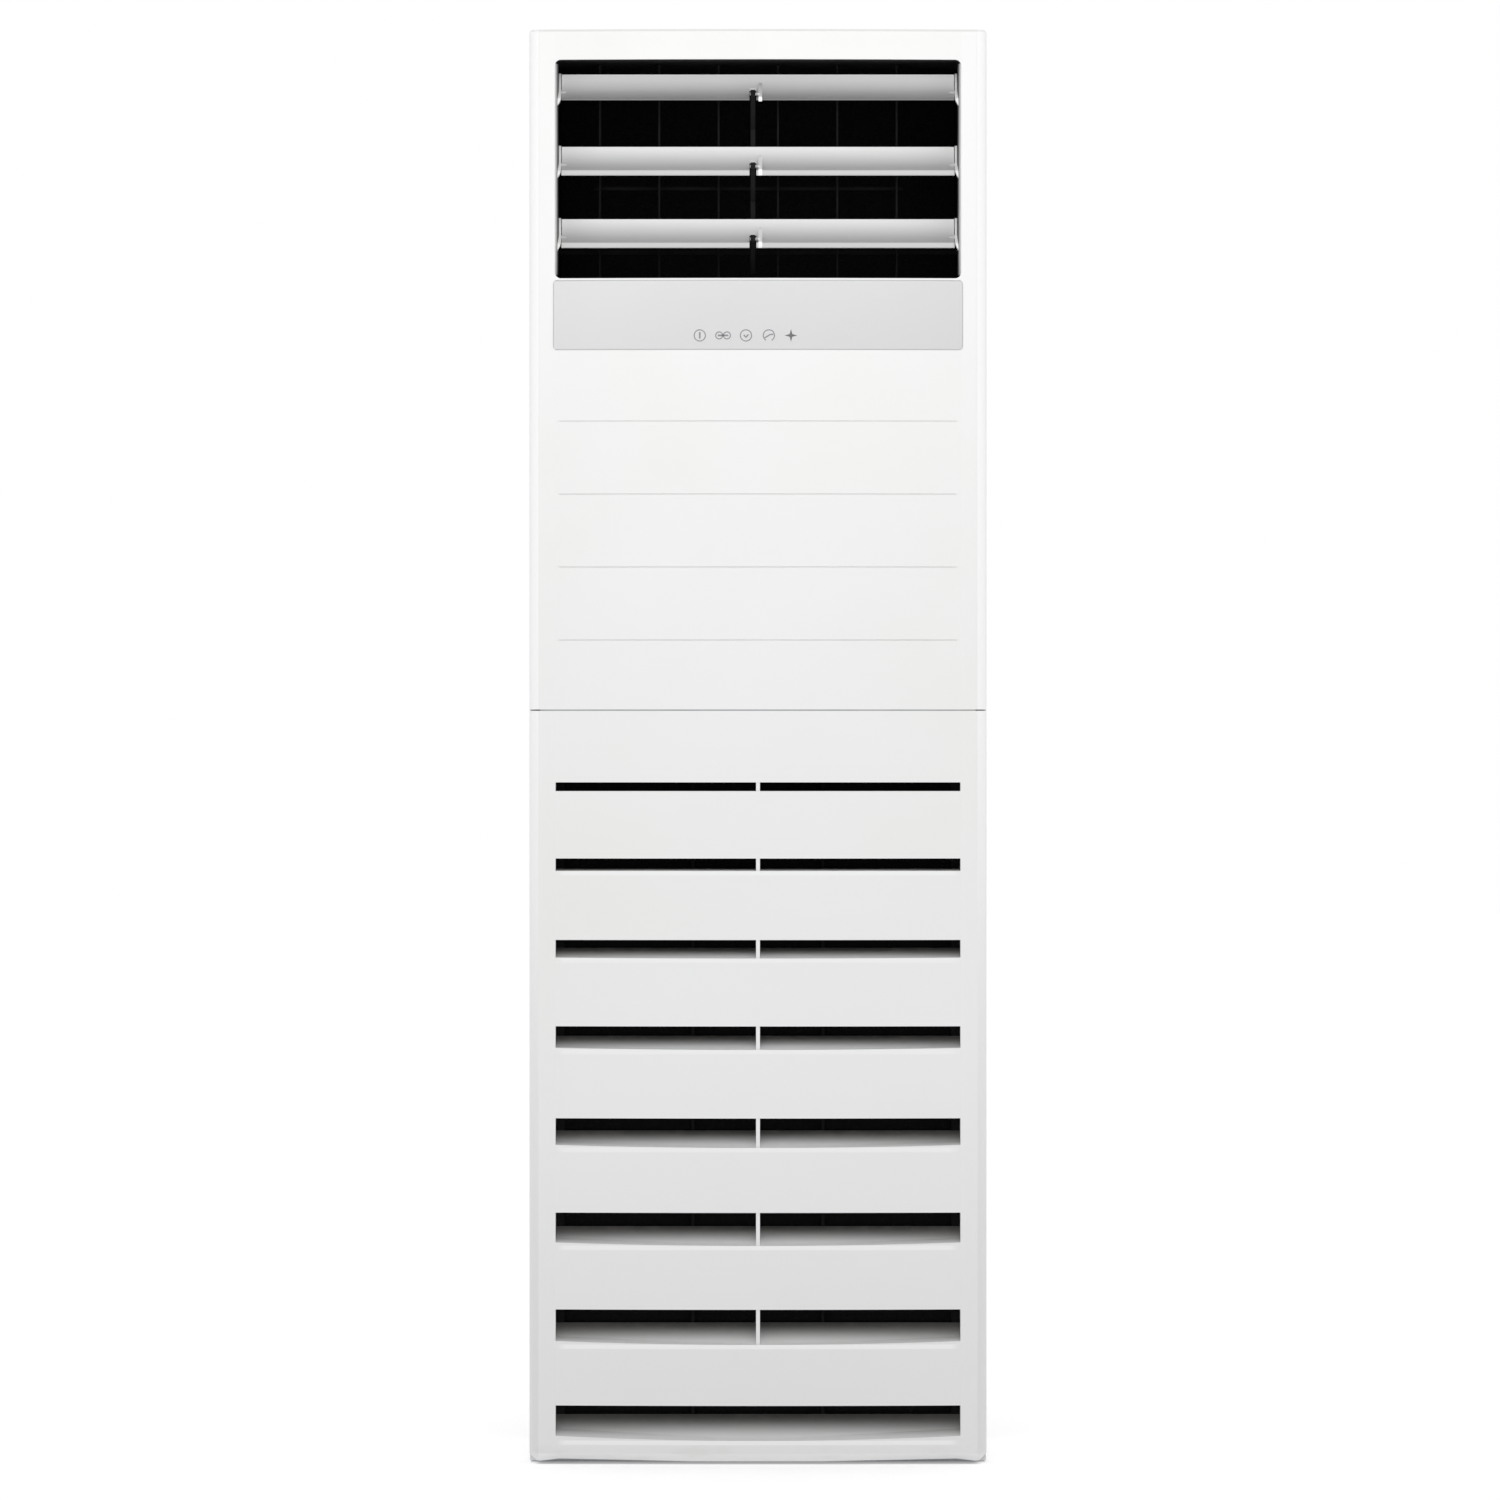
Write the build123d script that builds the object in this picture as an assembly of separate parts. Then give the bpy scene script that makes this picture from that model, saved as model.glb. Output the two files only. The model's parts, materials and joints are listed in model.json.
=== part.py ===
from build123d import *
import os
from math import atan2, cos, degrees, hypot, radians, sin, sqrt, tan

# Floor standing air conditioner, indoor cabinet, in millimetres.
# X runs across the front, Y from the front (-Y) to the back (+Y), Z is up.
# The origin is on the floor under the middle of the cabinet.

# ---------------------------------------------------------------- cabinet
cabinet_width = 590.0
cabinet_height = 1850.0
cabinet_depth = 440.0
sheet = 1.2                  # painted steel sheet
seat_gap = 0.3               # left between fixed pieces that seat on each other
hole_side_count = 8          # moulded bearing holes and link pins have flats
flange = 18.0                # folded edges of the steel panels
front_flange = 11.0          # narrower beside the louvres' motor
sheet_foot = 2.0             # side and rear panels end this far above the floor
rear_setback = 2.2           # rear panel in front of the top cover's drip edge
drip_edge = 12.0
knockout_radius = 35.0
knockout_edge = 95.0         # knock-out's middle in from the cabinet's side
knockout_height = 150.0
bead_count = 5
bead_margin = 75.0           # beads end this far in from the cabinet's sides
bead_lowest = 380.0
bead_liner_gap = 21.2        # highest bead's middle below the plenum liner
bead_height = 16.0
bead_depth = 3.0
bead_bevel = 2.4

# ---------------------------------------------------------------- front mouldings
wall = 3.0                   # moulded ABS
front_bow = 10.0             # the middle stands this far in front of the margins
flat_margin = 33.0           # flat strip at each side of the bow
corner_radius = 14.0
moulding_depth = 48.0        # from the margins back to the steel panels
side_seam = 0.3
split_height = 972.4         # seam between the upper panel and the intake grille
split_gap = 1.6
top_edge = 3.0               # bevel along the panel's top edge
groove_count = 4
groove_headroom = 92.1       # highest groove below the fascia
groove_footroom = 90.2       # lowest groove above the seam
groove_inset = 6.0           # grooves end this far inside the bow
groove_width = 1.8
groove_depth = 1.3

# ---------------------------------------------------------------- control fascia
fascia_overhang = 2.0        # beyond the bow at each side
fascia_drop = 2.6            # below the outlet
fascia_height = 89.6
fascia_corner = 5.0
fascia_thickness = 2.0
board_width = 300.0
board_height = 56.0
board_thickness = 1.6
board_standoff = 4.0
spacer_inset = 10.0
spacer_up = 20.0
spacer_width = 8.0

# ---------------------------------------------------------------- intake grille
floor_gap = 4.0
heel_cut = 10.0              # bevelled lower edge, so the panel can tip above the floor
slot_inset = 1.0             # slots end this far inside the bow
ramp_depth = 38.0            # how far a slot's sill runs back from the nose
ramp_wall = 2.5
lintel_depth = 22.0
# top edge, open height at the front and rise of the sill, from the highest slot down
slots = (
    (879.3, 11.3, 0.0),
    (781.2, 16.1, 0.0),
    (676.2, 23.8, 4.0),
    (564.9, 30.3, 9.0),
    (446.3, 38.0, 13.5),
    (324.7, 42.6, 15.5),
    (199.9, 45.3, 17.0),
    (76.1, 45.2, 23.0),
)
rib_width = 5.0
rib_setback = 1.5
rib_depth = 12.0
rib_overlap = 5.0
hinge_back = 20.0            # hinge axis behind the front nose
hinge_height = 16.0
hinge_pin_radius = 3.0
hinge_clearance = 0.06
hinge_nose_radius = 5.0
bracket_gap = 4.0            # between bracket and lug
bracket_sheet = 2.0
bracket_reach = 44.0
bracket_foot = 36.0          # length of the bracket's foot behind its arm
bracket_foot_gap = 6.0       # bare stretch between arm and foot
bracket_foot_width = 14.0
bracket_drop = 2.0           # arm grows this much lower towards its foot
lug_edge = 27.0              # lug's inner face in from the cabinet's side
lug_width = 8.0
pin_overhang = 4.0
return_edge = 11.0           # what is left of the grille's lower return at each side
heel_relief = 3.0
filter_low = 27.0
filter_high = 896.0
filter_thickness = 6.0
filter_rim = 12.0
filter_columns = 3
filter_rows = 5
filter_bar = 4.0
mesh_thickness = 0.8

# ---------------------------------------------------------------- outlet and louvres
outlet_height = 282.0
outlet_headroom = 39.0
outlet_corner = 8.0
duct_wall = 2.5
duct_reach = 162.0           # duct's back edge behind the front nose
duct_flange = 12.0
duct_bar = 5.0
duct_bar_drops = (31.0, 241.0)   # fixed cross bars below the outlet's top
louvre_count = 3
louvre_pitch = 93.6
louvre_headroom = 41.0       # highest louvre's axis below the outlet's top
louvre_axis_back = 48.0      # louvre axis behind the front nose
louvre_sheet = 2.4
louvre_reach = 20.0          # front edge in front of the axis
louvre_drop = 9.0            # front edge below the axis
louvre_tail = 12.0           # rear edge behind the axis
louvre_rise = 25.0           # rear edge above the axis
louvre_camber = 7.0
lip_height = 7.3
lip_thickness = 3.0
lip_forward = 3.5
lip_drop = 2.5               # lip's middle below the blade's top edge
lip_bevel = 0.9
louvre_pin_radius = 4.0
louvre_pin_root = 6.0        # pin's length inside the blade
louvre_clearance = 0.06
bearing_width = 7.5
bearing_radius = 10.0
bearing_tail = 33.0
bearing_tail_width = 3.0
bearing_side_gap = 0.8
fin_offset = 0.8
fin_width = 4.4
fin_proud = 0.6
fin_nose = 3.0               # half height of the fin's front edge
fin_rise = 15.0              # fin's rear corner above the axis
fin_back = 8.4               # and behind it
fin_root_rise = 3.0
fin_root_back = 1.2
louvre_pin_gap = 1.0         # pin's end short of the duct's wall
link_pin_back = 2.0          # link pin behind the blade's front edge
link_drop = 2.0              # link pin below the louvre's axis
link_pin_overhang = 1.0
link_offset = 6.5            # link's middle plane, left of the centre
link_width = 6.0
link_pin_radius = 2.0
link_eye_radius = 5.0
link_clearance = 0.1
link_arm_back = 46.0         # spine behind the eyes
link_arm_down = 40.0
link_bar = 6.0
notch_side_gap = 1.5
notch_back = 3.0             # notch's rear end behind the louvre axis

# ---------------------------------------------------------------- vertical vanes
vane_count = 6
vane_left = 57.0             # first vane's axis from the outlet's left end
vane_right = 82.0            # last vane's axis from its right end
vane_axis_back = 110.0       # vane axis behind the front nose
vane_front = 30.0
vane_rear = 34.0
vane_thickness = 2.4
vane_end_gap = 2.0
vane_pin_radius = 3.0
vane_clearance = 0.06
vane_link_drop = 159.0       # link bar below the outlet's top
vane_link_back = 27.0
vane_link_width = 9.0
vane_link_thickness = 4.0
vane_link_overhang = 9.0
vane_notch_height = 11.0
vane_notch_depth = 16.0

# ---------------------------------------------------------------- stepper motors
stepper_width = 28.0
stepper_cut = 5.0
stepper_length = 18.0
stepper_shaft_radius = 1.5
stepper_clearance = 0.06
stepper_socket = 6.0
stepper_end_gap = 0.5        # shaft's end short of its socket's floor
stepper_shaft_root = 1.0     # shaft's other end short of the motor's bore
stepper_ear_span = 42.0
stepper_ear_width = 7.0
stepper_ear_sheet = 1.0
stepper_plug = 15.0

# ---------------------------------------------------------------- evaporator and drain
coil_head_drop = 173.5       # coil's head below the outlet
coil_margin = 50.0           # beside the fins at each end
coil_thickness = 54.0
coil_head_back = 336.7       # head's middle behind the front nose
coil_foot_back = 100.0       # foot's middle behind the front nose
coil_foot_height = 848.0
fin_pitch = 35.0
fin_groove = 14.0
fin_groove_depth = 8.0
end_plate_margin = 4.0
bend_count = 6
bend_tube_radius = 4.8
bend_tube_side_count = 6
bend_mitre_count = 4
bend_radius = 12.7
bend_leg = 5.0
header_radius = 8.0
header_reach = 20.0
header_short = 60.0          # collector ends this far short of the coil's end
header_stub_count = 4
gas_pipe_radius = 8.0
liquid_pipe_radius = 4.8
liquid_behind = 30.0         # liquid pipe behind the gas pipe
pipe_wall = 1.0
pipe_low = 330.0
flare_nut_height = 22.0
nut_clearance = 0.05
nut_lead = 2.0               # nut reaches below the pipe's end
flare_nut_flats = 24.0
liquid_nut_flats = 17.0
pan_margin = 38.0            # beside the pan at each end
pan_front = 66.0             # pan's front edge behind the nose
pan_clearance = 2.2          # between the coil's rear face and the pan's rear wall
pan_height = 34.0
pan_wall = 2.5
pan_relief = 20.0            # end plates' flanges are cut this far round the pan
pan_relief_rise = 2.0
drain_radius = 9.0
drain_bore = 7.0
drain_edge = 59.0            # hose in from the cabinet's left side
drain_bend = 40.0
hose_side_count = 12
spout_length = 14.0
spout_bore = 5.0
spout_clearance = 0.1
drain_low = 60.0
liner_wall = 10.0
liner_skirt = 49.0           # liner reaches this far below the outlet
cover_margin = 3.0
baffle_reach = 10.0

# ---------------------------------------------------------------- blower
wheel_x = -30.0
wheel_height = 330.0
wheel_radius = 175.0
wheel_eye_radius = 148.0
wheel_width = 130.0
blade_count = 24
blade_thickness = 1.6
blade_bulge = 2.4
blade_lean = 7.0             # degrees the blade's tip runs ahead of its root
blade_margin = 1.5           # blades' edges inside the plate's rim and the ring's eye
wheel_plate = 2.0
wheel_gap = 5.5              # wheel behind the scroll's front plate
wheel_ring = 4.0
hub_radius = 20.0
hub_length = 40.0
shaft_radius = 6.0
shaft_clearance = 0.05
shaft_overhang = 4.0
scroll_step = 30.0
tongue_gap = 11.0
scroll_sheet = 1.5
scroll_front = 135.0         # scroll's front plate behind the nose
scroll_depth = 160.0
scroll_seam = 6.0            # side plates wider than the band
tongue_x = 40.0
bell_flare = 14.0            # bell mouth wider than its throat
inlet_plate = 8.0
throat_gap = 4.0             # throat smaller than the wheel's eye
motor_width = 120.0
motor_length = 80.0
motor_cut = 24.0
motor_cap = 16.0
motor_cap_width = 100.0
shaft_hole_radius = 9.0
motor_plate_width = 200.0
motor_plate_cut = 50.0
motor_plate = 2.5
deck_height = 820.0
deck_flange = 20.0
pass_gap = 1.0               # round what passes through a sheet

# ---------------------------------------------------------------- electrics and frame
box_edge = 73.0              # box in from the cabinet's left side
box_width = 195.0
box_height = 172.0
box_front = 62.0             # behind the nose
box_depth = 60.0
box_cut = 4.0
terminal_ways = 6
terminal_pitch = 14.0
terminal_height = 22.0
terminal_depth = 26.0
terminal_wall = 3.0
terminal_inset = 20.0
rail_height = 36.0
rail_depth = 16.0
catch_width = 34.0
catch_height = 14.0
catch_depth = 16.0
catch_edge = 75.0
base_sheet = 1.5
base_flange = 28.0
base_lip = 7.0
anchor_radius = 6.0
anchor_edge = 65.0
anchor_along = 300.0

# ---------------------------------------------------------------- places that follow
half_width = cabinet_width / 2
front_y = -cabinet_depth / 2
margin_y = front_y + front_bow
moulding_back = margin_y + moulding_depth
steel_front = moulding_back + side_seam
inner_front = steel_front + sheet + seat_gap
rear_outer = cabinet_depth / 2 - rear_setback
rear_inner = rear_outer - sheet
inner_back = rear_inner - bead_depth - sheet - seat_gap
side_inner = half_width - sheet
inside_half = side_inner - seat_gap
bow_half_width = half_width - flat_margin
outlet_top = cabinet_height - outlet_headroom
outlet_middle = outlet_top - outlet_height / 2
outlet_low = outlet_top - outlet_height
outlet_half = bow_half_width
fascia_width = 2 * (bow_half_width + fascia_overhang)
fascia_top = outlet_low - fascia_drop
fascia_low = fascia_top - fascia_height
groove_high = fascia_low - groove_headroom
groove_step = (groove_high - split_height - groove_footroom) / (groove_count - 1)
slot_half_width = bow_half_width - slot_inset
filter_width = 2 * bow_half_width
lug_inside = half_width - lug_edge
bracket_inside = lug_inside - bracket_gap - bracket_sheet
rim_depth = fascia_thickness + seat_gap + wall
duct_inset = rim_depth + seat_gap
duct_back = front_y + duct_reach
louvre_y = front_y + louvre_axis_back
louvre_heights = [outlet_top - louvre_headroom - louvre_pitch * i for i in range(louvre_count)]
louvre_half = outlet_half - bearing_width - bearing_side_gap
louvre_pin_end = outlet_half - louvre_pin_gap
link_y = louvre_y - louvre_reach + link_pin_back
link_left = -link_offset - link_width / 2
link_right = -link_offset + link_width / 2
vane_y = front_y + vane_axis_back
vane_pitch = (2 * outlet_half - vane_left - vane_right) / (vane_count - 1)
vane_places = [-outlet_half + vane_left + vane_pitch * i for i in range(vane_count)]
vane_link_height = outlet_top - vane_link_drop
stepper_grip = stepper_socket - stepper_end_gap
hinge_y = front_y + hinge_back
ramp_back = front_y + ramp_depth
filter_front = ramp_back + seat_gap
wheel_y = front_y + scroll_front
wheel_front = wheel_y + inlet_plate + wheel_gap
wheel_back = wheel_front + wheel_width
coil_foot_y = front_y + coil_foot_back
coil_width = cabinet_width - 2 * coil_margin
coil_rise = outlet_low - coil_head_drop - coil_foot_height
coil_run = coil_head_back - coil_foot_back
coil_lean = degrees(atan2(coil_run, coil_rise))
coil_length = hypot(coil_run, coil_rise)
coil_end = coil_width / 2
pipe_x = coil_end + sheet + 2 * seat_gap + header_reach
coil_half = coil_thickness / 2
liquid_y = coil_foot_y + liquid_behind
liquid_room = liquid_behind - liquid_pipe_radius - pass_gap - header_radius / cos(radians(coil_lean))
liquid_rise = liquid_room / tan(radians(coil_lean)) - liquid_pipe_radius
pan_bottom = deck_height + sheet + seat_gap
pan_rim = pan_bottom + pan_height
pan_y = front_y + pan_front
rim_rise = pan_rim - coil_foot_height + coil_half * sin(radians(coil_lean))
coil_at_rim = coil_foot_y + coil_half * cos(radians(coil_lean)) + rim_rise * tan(radians(coil_lean))
pan_back = coil_at_rim + pan_clearance + pan_wall
pan_half_width = half_width - pan_margin
drain_across = drain_edge - half_width
box_left = box_edge - half_width
drain_y = (pan_y + pan_back) / 2
box_low = deck_height - seat_gap - box_height
liner_low = outlet_low - liner_skirt


# ---------------------------------------------------------------- drawing helpers
def block(x0, x1, y0, y1, z0, z1):
    """Rectangular solid between two corners."""
    return Pos((x0 + x1) / 2, (y0 + y1) / 2, (z0 + z1) / 2) * Box(x1 - x0, y1 - y0, z1 - z0)


def along_x(section, x0, x1):
    """Runs a section drawn in (Y, Z) from x0 to x1."""
    return Pos(x0, 0, 0) * extrude(Plane.YZ * section, x1 - x0)


def along_y(section, y0, y1):
    """Runs a section drawn in (X, Z) from y0 to y1."""
    return Pos(0, y1, 0) * extrude(Plane.XZ * section, y1 - y0)


def along_z(section, z0, z1):
    """Runs a section drawn in (X, Y) from z0 to z1."""
    return Pos(0, 0, z0) * extrude(section, z1 - z0)


def disc(u, v, radius):
    return Pos(u, v) * Circle(radius)


def flat_hole(u, v, radius):
    """Hole with flat sides that touch a pin's running clearance."""
    return Pos(u, v) * RegularPolygon(radius, hole_side_count, major_radius=False)


def flat_pin(u, v, radius):
    """Pin with flat sides whose corners lie on the radius."""
    return Pos(u, v) * RegularPolygon(radius, hole_side_count)


def outline(*points):
    return make_face(Polyline(*points, close=True))


def both_sides(solid):
    """The solid and its mirror image across the cabinet's middle."""
    return [solid, mirror(solid, about=Plane.YZ)]


def group(solids):
    """Separate solids kept together as one named piece."""
    return Compound(children=[s for part in solids for s in part.solids()])


def folded(points, thickness):
    """Section of a folded sheet: a line through the points, thickened on its left."""
    shifted = []
    for i, (x, y) in enumerate(points):
        before = points[max(i - 1, 0)]
        after = points[min(i + 1, len(points) - 1)]
        turns = [(x - before[0], y - before[1]), (after[0] - x, after[1] - y)]
        normals = [(-dy / hypot(dx, dy), dx / hypot(dx, dy)) for dx, dy in turns if dx or dy]
        nx = sum(n[0] for n in normals) / len(normals)
        ny = sum(n[1] for n in normals) / len(normals)
        scale = thickness / (nx * nx + ny * ny)
        shifted.append((x + nx * scale, y + ny * scale))
    return outline(*points, *reversed(shifted))


# ---------------------------------------------------------------- front mouldings
def front_outline(inset=0.0, back=moulding_back):
    """Plan of the front mouldings: bowed middle, flat margins, round corners."""
    side = half_width - inset
    flat = margin_y + inset
    bow = ThreePointArc((-bow_half_width, flat), (0, front_y + inset), (bow_half_width, flat))
    right = [(bow_half_width, flat), (side, flat), (side, back)]
    left = [(-x, y) for x, y in reversed(right)]
    edge = Polyline(*right, *left)
    plan = make_face(bow + edge)
    corners = [v for v in plan.vertices() if abs(abs(v.X) - side) < 0.01 and abs(v.Y - flat) < 0.01]
    return fillet(corners, corner_radius - inset)


def front_block(inset, back, low, high):
    return along_z(front_outline(inset, back), low, high)


def skin_layer(near, far, half, low, high):
    """Slice that follows the front skin between two depths, within half of the middle."""
    layer = front_block(near, moulding_back, low, high)
    layer -= front_block(far, moulding_back + 1, low - 1, high + 1)
    return layer & block(-half, half, front_y - wall, margin_y + far + wall, low, high)


def outlet_shape(grow=0.0):
    width = 2 * (outlet_half + grow)
    height = outlet_height + 2 * grow
    return Pos(0, outlet_middle) * RectangleRounded(width, height, outlet_corner + grow)


def fascia_shape(grow=0.0):
    middle = (fascia_top + fascia_low) / 2
    size = (fascia_width + 2 * grow, fascia_height + 2 * grow, fascia_corner + grow)
    return Pos(0, middle) * RectangleRounded(*size)


def make_upper_front_panel():
    """Moulded panel with the outlet's rim, the fascia's recess and four grooves."""
    low = split_height + split_gap / 2
    outer = front_block(0, moulding_back, low, cabinet_height)
    top_edges = [e for e in outer.edges().group_by(Axis.Z)[-1] if e.center().Y < moulding_back - 1]
    outer = chamfer(top_edges, top_edge)
    shell = outer - front_block(wall, moulding_back + 1, low + wall, cabinet_height - wall)
    pad_low = fascia_low - wall
    behind = wall - seat_gap
    half = fascia_width / 2 + wall
    rim = skin_layer(behind, rim_depth, half, outlet_low - wall, outlet_top + wall)
    rim = rim & along_y(outlet_shape(wall), front_y, moulding_back)
    shell = shell + skin_layer(behind, rim_depth, half, pad_low, outlet_low - seat_gap) + rim
    shell -= along_y(outlet_shape(), front_y - 1, moulding_back)
    recess_depth = fascia_thickness + seat_gap
    recess = skin_layer(-1, recess_depth, half_width - corner_radius, pad_low, fascia_top + wall)
    shell -= recess & along_y(fascia_shape(seat_gap), front_y - 1, moulding_back)
    for i in range(groove_count):
        middle = groove_high - groove_step * i
        half = bow_half_width - groove_inset
        shell -= skin_layer(-1, groove_depth, half, middle - groove_width / 2, middle + groove_width / 2)
    return shell


def make_control_fascia():
    """Silver strip that fills its recess flush with the panel."""
    layer = skin_layer(0, fascia_thickness, half_width - corner_radius, fascia_low, fascia_top)
    return layer & along_y(fascia_shape(), front_y - 1, moulding_back)


def bow_setback(x):
    """How far the front skin lies behind the nose at x."""
    radius = (bow_half_width**2 + front_bow**2) / (2 * front_bow)
    return radius - sqrt(radius**2 - x**2)


def make_display_board():
    """Board behind the fascia, on four spacers that reach the panel."""
    spacer = board_width / 2 - spacer_inset
    pad_back = front_y + rim_depth + bow_setback(spacer + spacer_width / 2)
    face = pad_back + board_standoff
    middle = (fascia_top + fascia_low) / 2
    board = along_y(Pos(0, middle) * Rectangle(board_width, board_height), face, face + board_thickness)
    for x in (-spacer, spacer):
        for z in (-spacer_up, spacer_up):
            post = Pos(x, middle + z) * Rectangle(spacer_width, spacer_width)
            board += along_y(post, pad_back + seat_gap, face + board_thickness / 2)
    return board


# ---------------------------------------------------------------- intake grille
def slot_cut(top, height, rise):
    """Space of one slot: level above, sill rising inwards below."""
    slope = rise / ramp_depth
    sill = top - height
    start = front_y - wall
    end = ramp_back + 1
    low_start = sill + (start - front_y) * slope
    low_end = sill + (end - front_y) * slope
    section = outline((start, low_start), (end, low_end), (end, top), (start, top))
    return along_x(section, -slot_half_width, slot_half_width)


def slot_sill(top, height, rise):
    """Plate under a slot that carries its sill inwards."""
    sill = top - height
    inner = sill + rise
    drop = ramp_wall * sqrt(1 + (rise / ramp_depth) ** 2)
    section = outline((front_y, sill), (ramp_back, inner), (ramp_back, inner - drop), (front_y, sill - drop))
    return along_x(section, -slot_half_width, slot_half_width)


def hinge_lug():
    """Ear behind the grille's margin, with the hinge's hole."""
    start = margin_y + 1
    neck = Rectangle(hinge_y - start, 2 * hinge_nose_radius)
    ear = Pos((start + hinge_y) / 2, hinge_height) * neck + disc(hinge_y, hinge_height, hinge_nose_radius)
    ear -= flat_hole(hinge_y, hinge_height, hinge_pin_radius + hinge_clearance)
    return along_x(ear, lug_inside, lug_inside + lug_width)


def make_intake_grille():
    """Lower front panel: eight slots between bowed strips, sills, lintels and a centre rib."""
    high = split_height - split_gap / 2
    outer = front_block(0, moulding_back, floor_gap, high)
    heel = [e for e in outer.edges().group_by(Axis.Z)[0] if e.center().Y < moulding_back - 1]
    outer = chamfer(heel, heel_cut)
    cavity = front_block(wall, moulding_back + 1, floor_gap + wall, high - wall)
    heel = [e for e in cavity.edges().group_by(Axis.Z)[0] if e.center().Y < moulding_back]
    cavity = chamfer(heel, heel_cut - wall * (2 - sqrt(2)))
    shell = outer - cavity + [lug & outer for lug in both_sides(hinge_lug())]
    side = half_width - return_edge
    shell -= block(-side, side, hinge_y, moulding_back + 1, floor_gap - 1, floor_gap + wall + 1)
    shell -= block(-half_width, half_width, moulding_back - heel_relief, moulding_back + 1, 0, hinge_height)
    shell -= [slot_cut(*slot) for slot in slots]
    lowest = slots[-1][0] - slots[-1][1] - ramp_wall
    highest = slots[0][0] + ramp_wall
    added = [slot_sill(*slot) for slot in slots]
    lintel_back = front_y + lintel_depth
    for top, height, rise in slots:
        added.append(block(-slot_half_width, slot_half_width, front_y, lintel_back, top, top + ramp_wall))
    side = block(slot_half_width, slot_half_width + ramp_wall, front_y, ramp_back, lowest, highest)
    added += both_sides(side)
    rib_low = slots[-2][0] - slots[-2][1] - rib_overlap
    rib_high = slots[0][0] + rib_overlap
    rib_front = front_y + rib_setback
    rib = block(-rib_width / 2, rib_width / 2, rib_front, rib_front + rib_depth, rib_low, rib_high)
    added.append(rib)
    return shell + [piece & outer for piece in added]


def make_hinge_brackets():
    """Steel brackets on the base that hold the pins the grille tips on."""
    arm_back = hinge_y + bracket_reach
    foot_back = arm_back + bracket_foot
    low = base_sheet + seat_gap
    high = low + bracket_sheet
    under = hinge_height - hinge_nose_radius
    over = hinge_height + hinge_nose_radius
    nose = [(hinge_y, under), (hinge_y - hinge_nose_radius, hinge_height), (hinge_y, over)]
    lower = [(foot_back, low), (arm_back, low), (arm_back, under - bracket_drop)]
    arm = outline(*lower, *nose, (arm_back, over), (foot_back, high))
    inner = bracket_inside
    outer = inner + bracket_sheet
    web = along_x(arm, inner, outer)
    foot = block(inner - bracket_foot_width, outer, arm_back + bracket_foot_gap, foot_back, low, high)
    pin = along_x(disc(hinge_y, hinge_height, hinge_pin_radius), inner, lug_inside + lug_width + pin_overhang)
    return group(both_sides(web + foot + pin))


def make_filter_frame():
    """Grid frame clipped on the grille's back."""
    back = filter_front + filter_thickness
    half = filter_width / 2
    frame = block(-half, half, filter_front, back, filter_low, filter_high)
    step_x = (filter_width - 2 * filter_rim + filter_bar) / filter_columns
    step_z = (filter_high - filter_low - 2 * filter_rim + filter_bar) / filter_rows
    width = step_x - filter_bar
    height = step_z - filter_bar
    windows = []
    for i in range(filter_columns):
        for j in range(filter_rows):
            x = -half + filter_rim + step_x * i
            z = filter_low + filter_rim + step_z * j
            windows.append(block(x, x + width, filter_front - 1, back + 1, z, z + height))
    return frame - windows


def make_filter_mesh():
    """Woven mesh behind its frame, as one thin sheet."""
    front = filter_front + filter_thickness + seat_gap
    half = filter_width / 2 - filter_bar
    low = filter_low + filter_bar
    high = filter_high - filter_bar
    return block(-half, half, front, front + mesh_thickness, low, high)


# ---------------------------------------------------------------- outlet duct
def make_outlet_duct():
    """Black tunnel behind the outlet's rim, with two cross bars and the holes for vanes and motor."""
    low = outlet_low - duct_flange
    high = outlet_top + duct_flange
    outer = outlet_half + duct_wall
    duct = block(-outer, outer, front_y, duct_back, outlet_low - duct_wall, outlet_top + duct_wall)
    duct &= front_block(duct_inset, duct_back, low, high)
    duct += skin_layer(duct_inset, duct_inset + duct_wall, outlet_half + duct_flange, low, high)
    duct -= along_y(outlet_shape(), front_y, duct_back + 1)
    for drop in duct_bar_drops:
        section = Pos(duct_back - duct_bar, outlet_top - drop) * Rectangle(duct_bar, duct_bar)
        duct += along_x(section, -outlet_half - duct_wall / 2, outlet_half + duct_wall / 2)
    for x in vane_places:
        duct -= along_z(flat_hole(x, vane_y, vane_pin_radius + vane_clearance), low, high)
    motor_hole = flat_hole(louvre_y, louvre_heights[1], 2 * stepper_shaft_radius)
    return duct - along_x(motor_hole, outlet_half - 1, outer + 1)


def make_louvre_bearings():
    """Tear-shaped blocks on the duct's side walls, one at each louvre's end."""
    blocks = []
    for height in louvre_heights:
        head = flat_hole(louvre_y, height, bearing_radius)
        tail = Rectangle(bearing_tail_width, bearing_tail_width)
        tail = Pos(louvre_y - bearing_tail_width, height - bearing_tail) * tail
        body = along_x(make_hull(head.edges() + tail.edges()), outlet_half - bearing_width, outlet_half)
        hole = flat_hole(louvre_y, height, louvre_pin_radius + louvre_clearance)
        body -= along_x(hole, outlet_half - bearing_width - 1, outlet_half + 1)
        blocks += both_sides(body)
    return group(blocks)


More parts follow.
